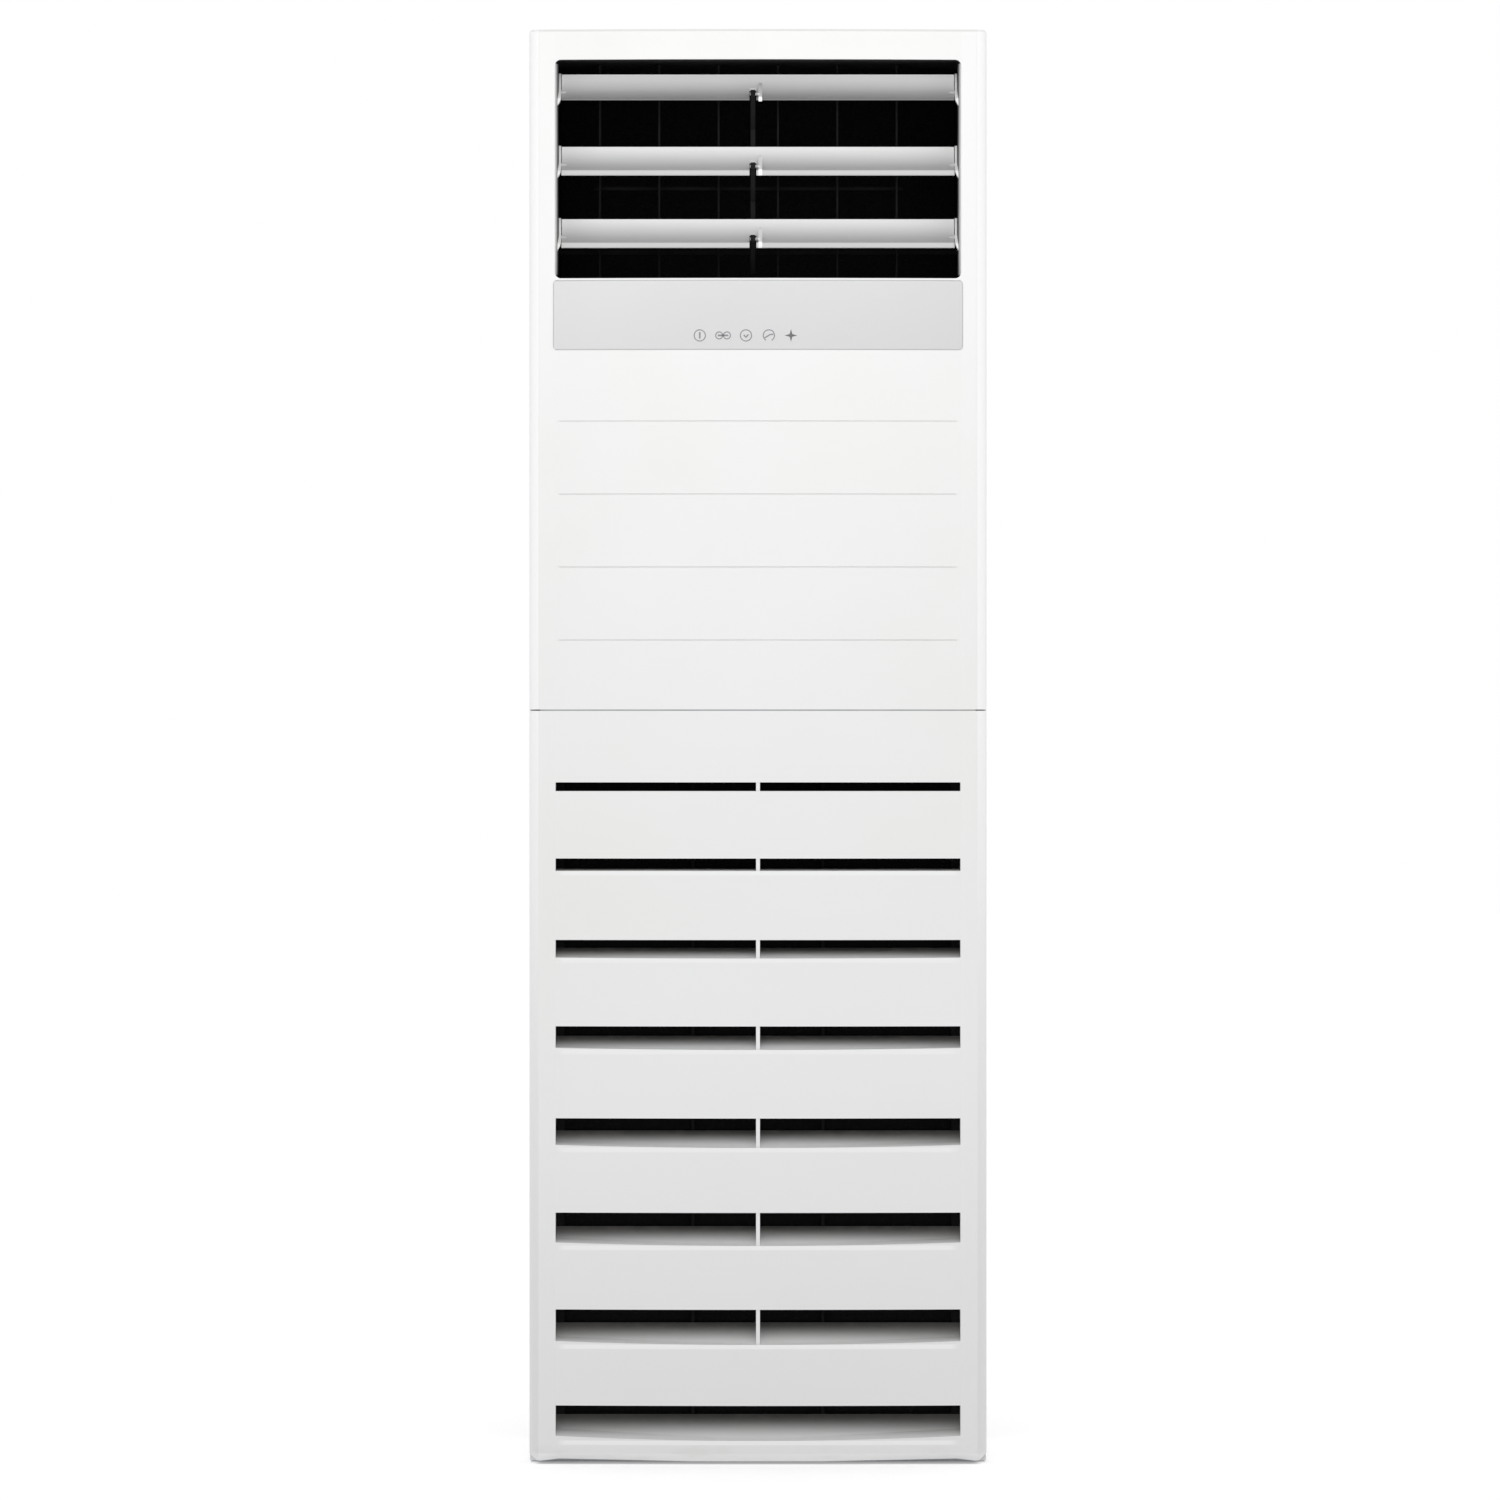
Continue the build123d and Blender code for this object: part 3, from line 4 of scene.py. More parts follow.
import bmesh
import bpy
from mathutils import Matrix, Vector


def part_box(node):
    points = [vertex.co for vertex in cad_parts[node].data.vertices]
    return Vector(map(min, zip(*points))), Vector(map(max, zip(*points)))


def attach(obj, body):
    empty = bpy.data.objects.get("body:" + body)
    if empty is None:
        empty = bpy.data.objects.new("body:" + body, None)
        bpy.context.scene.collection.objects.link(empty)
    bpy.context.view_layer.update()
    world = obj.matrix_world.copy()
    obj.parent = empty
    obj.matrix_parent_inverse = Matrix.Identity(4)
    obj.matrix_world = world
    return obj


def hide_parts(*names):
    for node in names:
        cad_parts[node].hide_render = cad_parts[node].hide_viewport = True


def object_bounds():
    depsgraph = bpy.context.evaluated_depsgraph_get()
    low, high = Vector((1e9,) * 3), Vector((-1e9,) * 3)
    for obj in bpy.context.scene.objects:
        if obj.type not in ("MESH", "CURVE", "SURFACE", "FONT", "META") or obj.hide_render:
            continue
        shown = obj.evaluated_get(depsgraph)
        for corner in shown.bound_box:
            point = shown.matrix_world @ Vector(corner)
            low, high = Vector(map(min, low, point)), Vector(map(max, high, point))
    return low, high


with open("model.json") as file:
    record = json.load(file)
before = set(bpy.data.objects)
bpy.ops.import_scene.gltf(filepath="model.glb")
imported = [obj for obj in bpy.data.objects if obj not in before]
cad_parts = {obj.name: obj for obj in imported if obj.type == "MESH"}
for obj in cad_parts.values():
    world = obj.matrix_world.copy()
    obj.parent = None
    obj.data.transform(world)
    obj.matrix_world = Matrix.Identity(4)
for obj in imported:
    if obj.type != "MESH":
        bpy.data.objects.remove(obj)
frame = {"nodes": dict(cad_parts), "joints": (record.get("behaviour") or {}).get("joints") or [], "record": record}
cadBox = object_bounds()
nodes = frame["nodes"]
print("frame loaded,", len(nodes), "pieces")


# shader maths written as plain expressions on sockets
class Value:
    def __init__(self, paint, socket):
        self.paint = paint
        self.socket = socket

    def __add__(self, other):
        return self.paint.maths("ADD", self, other)

    def __radd__(self, other):
        return self.paint.maths("ADD", other, self)

    def __sub__(self, other):
        return self.paint.maths("SUBTRACT", self, other)

    def __rsub__(self, other):
        return self.paint.maths("SUBTRACT", other, self)

    def __mul__(self, other):
        return self.paint.maths("MULTIPLY", self, other)

    def __rmul__(self, other):
        return self.paint.maths("MULTIPLY", other, self)

    def __abs__(self):
        return self.paint.maths("ABSOLUTE", self)

    def wave(self):
        return self.paint.maths("SINE", self)

    def between(self, low, high):  # 0 at low, 1 at high, eased between
        return self.paint.node("MapRange", {"interpolation_type": "SMOOTHSTEP"}, {0: self, 1: low, 2: high})


# one node tree, with the few steps that every finish starts from
class Paint:
    def __init__(self, name, kind="materials", coordinates="Object"):
        self.owner = getattr(bpy.data, kind).new(name)
        self.owner.use_nodes = True
        self.tree = self.owner.node_tree
        self.tree.nodes.clear()
        self.place = self.node("TexCoord", out=coordinates)
        self.x, self.y, self.z = self.axes(self.place)

    def node(self, kind, settings=None, sockets=None, out=0):
        made = self.tree.nodes.new("ShaderNode" + kind)
        for name, value in (settings or {}).items():
            setattr(made, name, value)
        for key, value in (sockets or {}).items():
            if isinstance(value, Value):
                self.tree.links.new(value.socket, made.inputs[key])
            else:
                made.inputs[key].default_value = value
        return Value(self, made.outputs[out] if made.outputs else None)

    def axes(self, vector):
        split = self.node("SeparateXYZ", sockets={0: vector})
        return [Value(self, socket) for socket in split.socket.node.outputs]

    def maths(self, operation, *terms):
        return self.node("Math", {"operation": operation}, dict(enumerate(terms)))

    def stretched(self, stretch):
        if not stretch:
            return self.place
        return self.node("VectorMath", {"operation": "MULTIPLY"}, {0: self.place, 1: stretch})

    def noise(self, scale, detail, stretch=None):
        sockets = {"Vector": self.stretched(stretch), "Scale": scale, "Detail": detail}
        return self.node("TexNoise", sockets=sockets)

    def patches(self, scale, detail, low, high, stretch=None):  # soft spots where the noise is high
        return self.noise(scale, detail, stretch).between(low, high)

    def cells(self, scale, feature="F1", stretch=None, out="Distance"):
        sockets = {"Vector": self.stretched(stretch), "Scale": scale}
        return self.node("TexVoronoi", {"feature": feature}, sockets, out)

    def mix(self, factor, first, second):  # a Mix node takes colours at 6 and 7, and gives one at 2
        return self.node("Mix", {"data_type": "RGBA"}, {0: factor, 6: first, 7: second}, 2)

    def facingUp(self, low=0.55, high=0.98):  # 1 on faces that look up
        return self.axes(self.node("TexCoord", out="Normal"))[2].between(low, high)

    def dust(self, *spots):  # patches that settle on the faces that look up
        return self.facingUp() * self.patches(*spots)

    def bump(self, height, distance, strength, under=None):
        sockets = {"Height": height, "Distance": distance, "Strength": strength}
        if under:
            sockets["Normal"] = under
        return self.node("Bump", sockets=sockets)

    def shade(self, colour, roughness, normal=None, more=None):
        sockets = {"Base Color": colour, "Roughness": roughness, **(more or {})}
        if normal:
            sockets["Normal"] = normal
        shader = self.node("BsdfPrincipled", sockets=sockets)
        self.node("OutputMaterial", sockets={"Surface": shader})
        return self.owner


def tone(red, green, blue):  # display values, 0 to 255, put through the display's curve
    shares = [c / 255 for c in (red, green, blue)]
    return tuple(c / 12.92 if c < 0.0405 else ((c + 0.055) / 1.055) ** 2.4 for c in shares) + (1.0,)


dustTone = tone(188, 183, 172)
feltFrom = cadBox[0].y - 0.1  # a place before every front face


def frontOf(node, x, z):  # y of the node's front, felt from before it
    found, place = nodes[node].ray_cast(Vector((x, feltFrom, z)), Vector((0, 1, 0)))[:2]
    return place.y if found else cadBox[1].y


# the grille's slots from the top down: top edge, height, and how far the ramp rises behind
slots = (
    (0.7812, 0.0161, 0.003),
    (0.6762, 0.0238, 0.013),
    (0.5649, 0.0303, 0.0172),
    (0.4463, 0.0380, 0.0212),
    (0.3247, 0.0426, 0.0238),
    (0.1999, 0.0453, 0.0268),
    (0.0761, 0.0452, 0.0322),
)


# In the finishes, a patch is given as the noise's scale and detail, the values where the patch
# starts and where it is full, and its stretch. A bump is given as its distance and strength.
# A span holds the two values between which a thing fades, in metres or in the noise's own values.


# satin ABS of the two front mouldings, with painted shade at the foot, painted light and shade on the side
# corners, painted shade on the ramps in the slots, and painted highlights below the slots
def mouldedWhite():
    look = {
        "fresh": tone(232, 232, 233),
        "aged": tone(230, 230, 228),
        "cloud": (2.6, 3, 0.35, 0.7),
        "foot": tone(223, 223, 223),
        "footShadeTop": 0.62,
        "cornerShadeHigh": tone(240, 240, 240),
        "cornerShadeLow": tone(216, 216, 216),
        "cornerTop": 1.1,
        "cornerWidth": 0.0125,
        "cornerFade": 0.0012,
        "scuff": tone(196, 195, 191),
        "scuffSpan": (0.006, 0.045),
        "scuffShare": 0.25,
        "rub": (38, 4, 0.5, 0.72, (0.5, 1, 2.2)),
        "rampShade": tone(84, 83, 81),
        "rampDepth": (0.005, 0.036),
        "rampSlope": (0.12, 0.3),
        "rampFade": 0.01,
        "sill": tone(237, 237, 237),
        "sillHeight": 0.0055,
        "sillFade": 0.0015,
        "sillEdge": 0.0005,
        "sillEnds": (0.246, 0.262),
        "dust": (55, 5, 0.42, 0.75),
        "dustShare": 0.12,
        "dustRough": 0.2,
        "wipes": (9, 4, 0.4, 0.75, (1, 1, 0.35)),
        "smooth": 0.30,
        "rough": 0.42,
        "flow": (7, 2),
        "flowBump": (0.0004, 0.25),
        "grain": (1500, 2),
        "grainBump": (0.00003, 0.5),
    }
    paint = Paint("mouldedWhite")
    colour = paint.mix(paint.patches(*look["cloud"]), look["fresh"], look["aged"])
    # painted shade: the moulding is painted darker towards the floor, where less light falls
    colour = paint.mix(1 - paint.z.between(0.0, look["footShadeTop"]), colour, look["foot"])
    # painted light and shade on the rounded side corners: darker near the floor and lighter higher up, as the
    # light falls on them
    side = cadBox[1].x - look["cornerWidth"]
    corner = paint.mix(paint.z.between(0.0, look["cornerTop"]), look["cornerShadeLow"], look["cornerShadeHigh"])
    colour = paint.mix(abs(paint.x).between(side, side + look["cornerFade"]), colour, corner)
    scuffed = (1 - paint.z.between(*look["scuffSpan"])) * paint.patches(*look["rub"])
    colour = paint.mix(scuffed * look["scuffShare"], colour, look["scuff"])
    # painted shade: the up-facing ramps behind the slots are painted darker the deeper they lie, where less light
    # reaches; this tone is shade, not dust
    depth = (paint.y - cadBox[0].y).between(*look["rampDepth"])
    highest = slots[0][0]
    behindSlots = 1 - paint.z.between(highest, highest + look["rampFade"])
    ramp = depth * paint.facingUp(*look["rampSlope"]) * behindSlots
    colour = paint.mix(ramp, colour, look["rampShade"])
    # painted highlight: a lighter band on the front just below each slot's sill, where light catches the sill's
    # edge
    inFront = 1 - depth
    betweenEnds = 1 - abs(paint.x).between(*look["sillEnds"])
    for top, height, rise in slots:
        sill = top - height
        foot = sill - look["sillHeight"]
        sillHighlight = paint.z.between(foot - look["sillFade"], foot + look["sillFade"])
        sillHighlight = sillHighlight - paint.z.between(sill, sill + look["sillEdge"])
        colour = paint.mix(sillHighlight * inFront * betweenEnds, colour, look["sill"])
    dust = paint.dust(*look["dust"])
    colour = paint.mix(dust * look["dustShare"], colour, dustTone)
    wipes = paint.patches(*look["wipes"]) * (look["rough"] - look["smooth"])
    roughness = look["smooth"] + wipes + dust * look["dustRough"]
    normal = paint.bump(paint.noise(*look["flow"]), *look["flowBump"])
    normal = paint.bump(paint.noise(*look["grain"]), *look["grainBump"], normal)
    return paint.shade(colour, roughness, normal)


# powder coat on the steel side panels and the top cover
def powderCoat():
    look = {
        "fresh": tone(228, 229, 230),
        "aged": tone(225, 225, 223),
        "cloud": (3.4, 3, 0.35, 0.7),
        "grime": tone(170, 167, 160),
        "grimeSpan": (0.004, 0.07),
        "grimeShare": 0.25,
        "splash": (46, 5, 0.46, 0.7),
        "dust": (60, 6, 0.35, 0.75),
        "dustShare": 0.18,
        "dustRough": 0.2,
        "rough": 0.38,
        "haze": (12, 4),
        "hazeRough": 0.16,
        "peel": (420, 1),
        "peelBump": (0.00009, 0.55),
    }
    paint = Paint("powderCoat")
    colour = paint.mix(paint.patches(*look["cloud"]), look["fresh"], look["aged"])
    grime = (1 - paint.z.between(*look["grimeSpan"])) * paint.patches(*look["splash"])
    colour = paint.mix(grime * look["grimeShare"], colour, look["grime"])
    dust = paint.dust(*look["dust"])
    colour = paint.mix(dust * look["dustShare"], colour, dustTone)
    haze = paint.noise(*look["haze"]) * look["hazeRough"]
    roughness = look["rough"] + haze + dust * look["dustRough"]
    normal = paint.bump(paint.noise(*look["peel"]), *look["peelBump"])
    return paint.shade(colour, roughness, normal)


# hot dipped galvanised sheet, with its spangle
def galvanisedSheet():
    look = {
        "pale": tone(197, 200, 203),
        "dark": tone(166, 170, 174),
        "spangle": 150,
        "spangleShare": 0.7,
        "spangleRough": 0.16,
        "spangleBump": (0.00004, 0.35),
        "wander": (60, 2),
        "wanderShare": 0.3,
        "bloom": tone(208, 209, 208),
        "bloomSpots": (14, 5, 0.55, 0.8),
        "bloomShare": 0.5,
        "bloomRough": 0.2,
        "bloomDull": 0.35,
        "rough": 0.34,
        "metallic": 0.92,
    }
    paint = Paint("galvanisedSheet")
    spangle = paint.axes(paint.cells(look["spangle"], out="Color"))[0]
    wander = paint.noise(*look["wander"])
    shares = spangle * look["spangleShare"] + wander * look["wanderShare"]
    colour = paint.mix(shares, look["dark"], look["pale"])
    bloom = paint.patches(*look["bloomSpots"])
    colour = paint.mix(bloom * look["bloomShare"], colour, look["bloom"])
    roughness = look["rough"] + spangle * look["spangleRough"] + bloom * look["bloomRough"]
    metallic = look["metallic"] - bloom * look["bloomDull"]
    normal = paint.bump(spangle, *look["spangleBump"])
    return paint.shade(colour, roughness, normal, {"Metallic": metallic})


# silver printed film behind the clear face of the control strip
def silverStrip():
    look = {
        "left": tone(204, 204, 205),
        "right": tone(198, 198, 199),
        "fadeEnd": 0.15,
        "flake": 2600,
        "flakeTone": tone(255, 255, 255),
        "flakeSpan": (0.2, 0.75),
        "flakeShare": 0.04,
        "flakeBump": (0.000004, 0.1),
        "edge": tone(176, 176, 177),
        "edgeSpan": (0.00064, 0.0016),
        "edgeShare": 0.7,
        "smear": (16, 4, 0.45, 0.75, (1, 1, 1.8)),
        "smearRough": 0.04,
        "rough": 0.28,
        "metallic": 0.12,
        "coat": 0.35,
        "coatRough": 0.12,
    }
    low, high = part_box("control_fascia")
    paint = Paint("silverStrip")
    # painted light: the strip is painted lighter at its left end and darker towards the middle, as the light falls
    # across it
    across = paint.x.between(low.x, low.x * look["fadeEnd"])
    colour = paint.mix(across, look["left"], look["right"])
    flake = paint.cells(look["flake"])
    sparkle = flake.between(*look["flakeSpan"]) * look["flakeShare"]
    colour = paint.mix(sparkle, colour, look["flakeTone"])
    inFromEnd = high.x - abs(paint.x)
    inFromEdge = (high.z - low.z) / 2 - abs(paint.z - (high.z + low.z) / 2)
    rim = 1 - paint.maths("MINIMUM", inFromEnd, inFromEdge).between(*look["edgeSpan"])
    colour = paint.mix(rim * look["edgeShare"], colour, look["edge"])
    roughness = look["rough"] + paint.patches(*look["smear"]) * look["smearRough"]
    normal = paint.bump(flake, *look["flakeBump"])
    return paint.shade(colour, roughness, normal, {
        "Metallic": look["metallic"], "Coat Weight": look["coat"], "Coat Roughness": look["coatRough"],
    })


# printed ink, a little worn by fingers
def ink(name, fresh, worn):
    look = {"wear": (900, 3, 0.4, 0.7), "rough": 0.45, "wearRough": 0.2, "wearBump": (0.00001, 0.4)}
    paint = Paint(name)
    wear = paint.patches(*look["wear"])
    colour = paint.mix(wear, fresh, worn)
    roughness = look["rough"] + wear * look["wearRough"]
    return paint.shade(colour, roughness, paint.bump(wear, *look["wearBump"]))


# a mould-textured plastic of one colour, for the smaller mouldings
def plastic(name, fresh, worn, rough, grain=1100, depth=0.00003, dustShare=0.25, shine=0.5):
    look = {
        "cloud": (18, 4),
        "cloudSpan": (0.35, 0.7),
        "cloudRough": 0.14,
        "dust": (80, 5, 0.4, 0.7),
        "dustRough": 0.15,
        "grainDetail": 2,
        "grainStrength": 0.6,
    }
    paint = Paint(name)
    cloud = paint.noise(*look["cloud"])
    colour = paint.mix(cloud.between(*look["cloudSpan"]), fresh, worn)
    dust = paint.dust(*look["dust"])
    colour = paint.mix(dust * dustShare, colour, dustTone)
    roughness = rough + cloud * look["cloudRough"] + dust * look["dustRough"]
    normal = paint.bump(paint.noise(grain, look["grainDetail"]), depth, look["grainStrength"])
    return paint.shade(colour, roughness, normal, {"Specular IOR Level": shine})


def ductBlack():  # matt, for the duct, the vanes and the link bars
    return plastic("ductBlack", tone(27, 27, 28), tone(33, 33, 33), rough=0.7,
                   grain=1300, depth=0.00004, dustShare=0.02, shine=0.1)


def filterBlack():  # matt, for the filter's frame
    return plastic("filterBlack", tone(15, 15, 16), tone(21, 21, 21), rough=0.7,
                   grain=1000, depth=0.00004, dustShare=0.02, shine=0.1)


def bearingWhite():
    return plastic("bearingWhite", tone(252, 252, 252), tone(248, 248, 246), rough=0.38,
                   grain=1200, depth=0.00002, dustShare=0.08)


def panGrey():
    return plastic("panGrey", tone(176, 178, 180), tone(160, 162, 163), rough=0.42)


def catchBlack():
    return plastic("catchBlack", tone(30, 30, 31), tone(42, 42, 42), rough=0.45)


def terminalCream():
    return plastic("terminalCream", tone(226, 219, 198), tone(210, 202, 180), rough=0.40)


# height of each louvre's lip, and where it turns
louvreLips = {"louvre_1": 0.0, "louvre_2": 0.0073, "louvre_3": 0.0073}
louvreAxes = {}
for joint in frame["joints"]:
    if joint["child"] in louvreLips:
        louvreAxes[joint["child"]] = Vector(joint["pos_m"])


# louvre plastic in its own light grey, with painted light and shade: paler along the rear edge and darker down the
# face, a painted shadow along the lipless louvre's foot, painted highlights on the other louvres' lips and on the
# fin at the middle
def louvreGreyAndShade(node, lipHeight):
    look = {
        "rear": tone(252, 252, 252),
        "face": tone(162, 162, 163),
        "faceFade": 0.004,
        "toe": tone(120, 120, 121),
        "toeSpan": (0.0015, 0.0035),
        "toeDrop": 0.0095,
        "fin": tone(243, 243, 243),
        "finLeft": 0.0007,
        "finRight": 0.0053,
        "finFade": 0.0004,
        "finTop": (0.0176, 0.022),
        "streak": (30, 4, 0.45, 0.75, (0.3, 1, 2)),
        "streakShare": 0.05,
        "streakRough": 0.12,
        "dust": (90, 5, 0.4, 0.7),
        "dustShare": 0.08,
        "rough": 0.34,
        "grain": (1400, 2),
        "grainBump": (0.00002, 0.5),
    }
    lipped = {
        "rear": tone(229, 229, 229),
        "face": tone(183, 183, 184),
        "lip": tone(194, 194, 194),
        "lipFade": 0.0008,
    }
    low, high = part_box(node)
    paint = Paint("louvreGreyAndShade_" + node[-1])
    # the lipped louvres get their own rear and face tones: lit and shaded copies of one plastic
    if lipHeight:
        look.update(lipped)
        foot = low.z + lipHeight
        edge = paint.z.between(foot - look["lipFade"], foot)
    else:
        foot = louvreAxes[node].z - look["toeDrop"]
        edge = paint.z.between(foot + look["toeSpan"][0], foot + look["toeSpan"][1])
    # painted shade: paler at the rear edge, darker down the face
    colour = paint.mix(paint.z.between(foot - look["faceFade"], high.z), look["face"], look["rear"])
    # painted highlight on the lipped louvres' lip, painted shadow along the foot of the lipless louvre
    colour = paint.mix(edge, look["lip"] if lipHeight else look["toe"], colour)
    streak = paint.patches(*look["streak"])
    colour = paint.mix(streak * look["streakShare"], colour, dustTone)
    # painted highlight: the fin at the middle is painted near white against the shaded blade
    across = paint.x.between(look["finLeft"] - look["finFade"], look["finLeft"])
    across = across - paint.x.between(look["finRight"], look["finRight"] + look["finFade"])
    below = 1 - paint.z.between(foot + look["finTop"][0], foot + look["finTop"][1])
    colour = paint.mix(across * below, colour, look["fin"])
    colour = paint.mix(paint.dust(*look["dust"]) * look["dustShare"], colour, dustTone)
    roughness = look["rough"] + streak * look["streakRough"]
    return paint.shade(colour, roughness, paint.bump(paint.noise(*look["grain"]), *look["grainBump"]))


# woven net of the air filter, with its holes painted near black as the shade seen through them
def filterNet():
    look = {
        "thread": tone(16, 16, 17),
        "hole": tone(3, 3, 3),
        "pitch": 0.0016,
        "threadSpan": (0.1, 0.7),
        "threadBump": (0.0003, 0.8),
        "lint": tone(40, 39, 37),
        "lintSpots": (26, 6, 0.6, 0.85),
        "lintShare": 0.3,
        "lintRough": 0.2,
        "rough": 0.7,
        "shine": 0.1,
    }
    paint = Paint("filterNet")
    turn = 2 * math.pi / look["pitch"]
    weave = paint.maths("MAXIMUM", (paint.x * turn).wave(), (paint.z * turn).wave())
    # painted shade: the holes between the threads are painted near black
    colour = paint.mix(weave.between(*look["threadSpan"]), look["hole"], look["thread"])
    lint = paint.patches(*look["lintSpots"])
    colour = paint.mix(lint * look["lintShare"], colour, look["lint"])
    roughness = look["rough"] + lint * look["lintRough"]
    normal = paint.bump(weave, *look["threadBump"])
    return paint.shade(colour, roughness, normal, {"Specular IOR Level": look["shine"]})


# closed-cell foam of the hood behind the duct, with painted shade in its pores
def foamBlack():
    look = {
        "skin": tone(30, 30, 31),
        "pore": tone(16, 16, 16),
        "pores": 520,
        "poreSpan": (0.15, 0.5),
        "poreBump": (0.0006, 0.8),
        "haze": (30, 3),
        "hazeRough": 0.1,
        "rough": 0.85,
        "shine": 0.1,
    }
    paint = Paint("foamBlack")
    wall = paint.cells(look["pores"]).between(*look["poreSpan"])
    # painted shade: the pores are painted darker than the cell walls
    colour = paint.mix(wall, look["pore"], look["skin"])
    roughness = look["rough"] + paint.noise(*look["haze"]) * look["hazeRough"]
    normal = paint.bump(wall, *look["poreBump"])
    return paint.shade(colour, roughness, normal, {"Specular IOR Level": look["shine"]})


# aluminium fins, 1.8 mm apart, in the coil's block, with painted shade in the gaps between them
def finStack():
    look = {
        "edge": tone(206, 208, 210),
        "gap": tone(52, 54, 56),
        "pitch": 0.0018,
        "edgeSpan": (-0.35, 0.55),
        "edgeMetallic": 0.6,
        "edgeBump": (0.0004, 0.9),
        "stain": tone(168, 160, 140),
        "stainSpots": (20, 5, 0.55, 0.8, (1, 1, 0.4)),
        "stainShare": 0.4,
        "stainRough": 0.3,
        "metallic": 0.35,
        "rough": 0.35,
    }
    paint = Paint("finStack")
    comb = (paint.x * (2 * math.pi / look["pitch"])).wave()
    edge = comb.between(*look["edgeSpan"])
    # painted shade: the gaps between the fins are painted dark
    colour = paint.mix(edge, look["gap"], look["edge"])
    stain = paint.patches(*look["stainSpots"])
    colour = paint.mix(stain * look["stainShare"], colour, look["stain"])
    metallic = look["metallic"] + edge * look["edgeMetallic"]
    roughness = look["rough"] + stain * look["stainRough"]
    return paint.shade(colour, roughness, paint.bump(comb, *look["edgeBump"]), {"Metallic": metallic})


# a bare metal, with cloudy tarnish and drawn scratches
def metal(name, bright, tarnished, rough, share, streak):
    look = {
        "tarnish": (34, 5, 0.45, 0.75),
        "tarnishRough": 0.22,
        "tarnishDull": 0.3,
        "scratch": (900, 3),
        "scratchRough": 0.08,
        "scratchBump": (0.00002, 0.4),
    }
    paint = Paint(name)
    tarnish = paint.patches(*look["tarnish"])
    scratch = paint.noise(*look["scratch"], streak)
    colour = paint.mix(tarnish * share, bright, tarnished)
    roughness = rough + tarnish * look["tarnishRough"] + scratch * look["scratchRough"]
    metallic = 1.0 - tarnish * look["tarnishDull"]
    return paint.shade(colour, roughness, paint.bump(scratch, *look["scratchBump"]), {"Metallic": metallic})


def copperTube():
    return metal("copperTube", tone(214, 142, 104), tone(128, 74, 48), rough=0.24,
                 share=0.7, streak=(1, 1, 0.1))


def brassNut():
    return metal("brassNut", tone(214, 184, 104), tone(142, 112, 56), rough=0.26,
                 share=0.5, streak=(1, 1, 1))


def groundSteel():
    return metal("groundSteel", tone(190, 192, 194), tone(120, 118, 114), rough=0.22,
                 share=0.35, streak=(1, 0.15, 1))


def stepperCan():
    return metal("stepperCan", tone(186, 188, 192), tone(140, 142, 146), rough=0.34,
                 share=0.4, streak=(1, 1, 1))


def wheelAluminium():
    return metal("wheelAluminium", tone(184, 186, 188), tone(122, 120, 116), rough=0.38,
                 share=0.6, streak=(1, 0.2, 1))


# blue-grey enamel of the fan motor, with the laminations showing round the stack
def motorEnamel():
    look = {
        "enamel": tone(74, 82, 92),
        "worn": tone(104, 108, 112),
        "wear": (70, 5, 0.5, 0.75),
        "wearShare": 0.6,
        "wearRough": 0.2,
        "lamination": 0.0011,
        "line": tone(30, 32, 34),
        "lineSpan": (0.2, 1.0),
        "lineShare": 0.25,
        "lineBump": (0.00015, 0.7),
        "rough": 0.42,
        "metallic": 0.3,
    }
    paint = Paint("motorEnamel")
    line = (paint.y * (2 * math.pi / look["lamination"])).wave()
    wear = paint.patches(*look["wear"])
    colour = paint.mix(wear * look["wearShare"], look["enamel"], look["worn"])
    colour = paint.mix(line.between(*look["lineSpan"]) * look["lineShare"], colour, look["line"])
    roughness = look["rough"] + wear * look["wearRough"]
    normal = paint.bump(line, *look["lineBump"])
    return paint.shade(colour, roughness, normal, {"Metallic": look["metallic"]})


# green solder mask with copper tracks under it
def boardGreen():
    look = {
        "mask": tone(20, 84, 52),
        "track": tone(34, 112, 68),
        "trackCells": (210, "DISTANCE_TO_EDGE", (1, 1, 1.6)),
        "trackSpan": (0.02, 0.07),
        "trackRough": 0.1,
        "trackBump": (0.00004, 0.6),
        "pad": tone(190, 186, 168),
        "padCells": 320,
        "padSpan": (0.12, 0.18),
        "padMetallic": 0.8,
        "rough": 0.32,
    }
    paint = Paint("boardGreen")
    track = 1 - paint.cells(*look["trackCells"]).between(*look["trackSpan"])
    colour = paint.mix(track, look["mask"], look["track"])
    pad = 1 - paint.cells(look["padCells"]).between(*look["padSpan"])
    colour = paint.mix(pad, colour, look["pad"])
    roughness = look["rough"] + track * look["trackRough"]
    normal = paint.bump(track, *look["trackBump"])
    return paint.shade(colour, roughness, normal, {"Metallic": pad * look["padMetallic"]})


# ribbed grey drain hose, with painted shade in the grooves between its ribs
def ribbedHose():
    look = {
        "top": tone(150, 152, 154),
        "groove": tone(98, 100, 102),
        "pitch": 0.006,
        "ringSpan": (-0.6, 0.5),
        "ringBump": (0.001, 0.8),
        "haze": (60, 4),
        "hazeRough": 0.15,
        "rough": 0.5,
    }
    paint = Paint("ribbedHose")
    ring = ((paint.z + paint.y) * (2 * math.pi / look["pitch"])).wave()
    # painted shade: the grooves are painted darker than the rib tops
    colour = paint.mix(ring.between(*look["ringSpan"]), look["groove"], look["top"])
    roughness = look["rough"] + paint.noise(*look["haze"]) * look["hazeRough"]
    return paint.shade(colour, roughness, paint.bump(ring, *look["ringBump"]))


